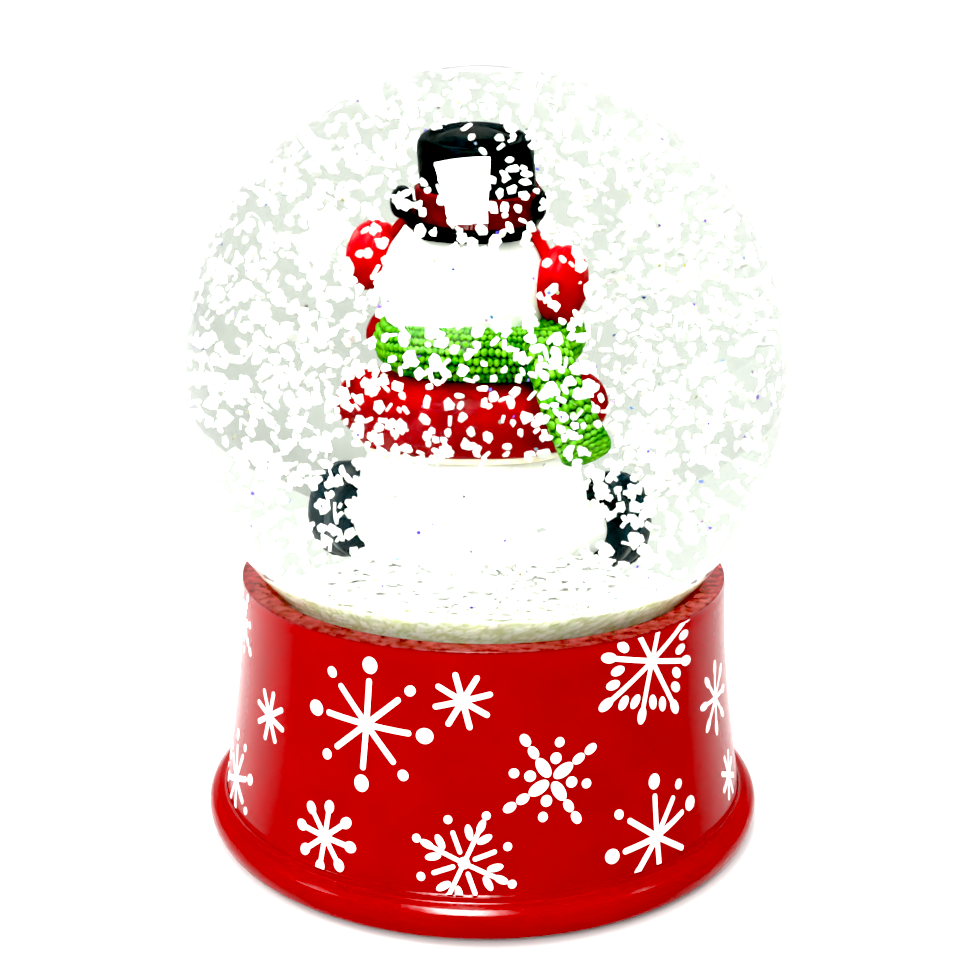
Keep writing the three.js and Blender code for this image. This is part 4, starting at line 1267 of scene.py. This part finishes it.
def dress_cad():
    """The CAD pieces that stay as they are, with their edges softened where they are seen."""
    by_slot = {
        "rubber": "rubber", "adhesive": "adhesive", "black_plastic": "plate",
        "cast_zinc": "zinc", "steel": "steel", "brass": "brass",
    }
    for part in frame["record"]["subparts"]:
        node = frame["nodes"][part["node"]]
        if node.hide_render:
            continue
        node.data.materials.clear()
        node.data.materials.append(LOOKS[by_slot[part["material_slot"]]])
        soft = node.modifiers.new("soft_edges", "BEVEL")
        soft.width = 0.12 * MM
        soft.segments = 2
        soft.limit_method = "ANGLE"
        soft.angle_limit = math.radians(40)
        soft.harden_normals = False


# ---------------------------------------------------------------- stage, camera and light


def make_stage():
    mesh = bpy.data.meshes.new("floor")
    points, faces = loft(lathe([(0, 0), (0.5, 0), (1.5, 0), (4.0, 0)], 64))
    mesh.from_pydata(points, [], faces)
    floor = place_mesh("floor", mesh)
    material, tree = new_look("pale_floor_shaded_right")
    # Painted shade: the floor's colour darkens towards +X, the right, with noise, so that the floor
    # and what mirrors it lie darker on the right.
    across = tree.add("SeparateXYZ", {0: tree.place}).outputs["X"]
    drift = tree.combine("MULTIPLY_ADD", across, 0.0025, tree.noise(0.004, 2.0))
    tree.feed(tree.body, {
        "Base Color": tree.ramp(drift, [(0.1, (0.86, 0.86, 0.86)), (0.9, (0.63, 0.63, 0.62))]),
        "Roughness": 0.9, "Specular IOR Level": 0.1,
    })
    mesh.materials.append(material)


def add_panel(name, at, aim, size, power, lit=(True, True)):
    """A soft lamp. lit says whether matt surfaces, and whether glossy ones, get its light."""
    lamp = bpy.data.lights.new(name, "AREA")
    lamp.shape = "RECTANGLE"
    lamp.size, lamp.size_y = size
    lamp.energy = power
    panel = bpy.data.objects.new(name, lamp)
    scene.collection.objects.link(panel)
    panel.location = at
    panel.rotation_euler = (Vector(aim) - Vector(at)).to_track_quat("-Z", "Y").to_euler()
    panel.visible_diffuse, panel.visible_glossy = lit


def make_light():
    """Even white light all round. What glossy surfaces mirror is dark towards the front
    and the right, and bright towards the back and the left."""
    world = bpy.data.worlds.new("studio")
    scene.world = world
    world.use_nodes = True
    tree = Tree(world.node_tree)
    path = tree.add("LightPath").outputs
    split = tree.add("SeparateXYZ", {0: tree.add("TexCoord").outputs["Generated"]}).outputs
    leaning = tree.combine("MULTIPLY_ADD", split["X"], -0.4, split["Y"])
    mirrored = tree.span(leaning, 0.05, 0.9, -0.35, 0.5)
    direct = tree.span(path["Is Camera Ray"], 1.5, 1.1, 0, 1)
    glossy = tree.combine("MULTIPLY", path["Is Glossy Ray"], path["Is Reflection Ray"])
    strength = tree.mix(glossy, direct, mirrored, "FLOAT")
    tree.feed(tree.nodes["Background"], {"Color": (1, 1, 1, 1), "Strength": strength})
    middle = (0, 0, BALL_Z * MM)
    over, below = (-0.055, -0.152, 0.61), (-0.055, -0.292, 0.0)
    add_panel("overhead_panel", over, below, (0.13, 0.295), 13.0, (False, True))
    add_panel("overhead_fill", over, below, (0.13, 0.262), 1.3, (True, False))
    add_panel("front_fill", (-0.25, -0.8, 0.55), middle, (0.4, 0.4), 5.0, (True, False))
    add_panel("left_window", (-0.47, -0.07, 0.50), middle, (0.16, 0.16), 1.0)
    add_panel("right_window", (0.45, -0.02, 0.56), middle, (0.07, 0.09), 0.4)


def make_camera():
    lens = bpy.data.cameras.new("camera")
    camera = bpy.data.objects.new("camera", lens)
    scene.collection.objects.link(camera)
    scene.camera = camera
    lens.sensor_width = 36
    lens.lens = 52.2
    lens.clip_start = 0.01
    pitch, yaw, roll = 0.263, 0.001, 0.004
    turn = Matrix.Rotation(yaw, 4, "Z") @ Matrix.Rotation(math.pi / 2 - pitch, 4, "X")
    camera.location = (0, -0.2320, 0.12142)
    camera.rotation_euler = (turn @ Matrix.Rotation(roll, 4, "Z")).to_euler()


make_camera()
make_stage()
make_light()
make_base()
make_print()
make_underside()
make_mound()
make_bank()
make_settled_flakes()
make_body()
make_coat()
make_arms()
make_legs()
make_scarf()
make_head()
make_hat()
make_loose_snow()
make_globe()
dress_cad()

scene.view_settings.view_transform = "Standard"
scene.view_settings.use_curve_mapping = True
scene.view_settings.curve_mapping.black_level = (0.06, 0.06, 0.06)
scene.view_settings.curve_mapping.white_level = (0.84, 0.84, 0.84)
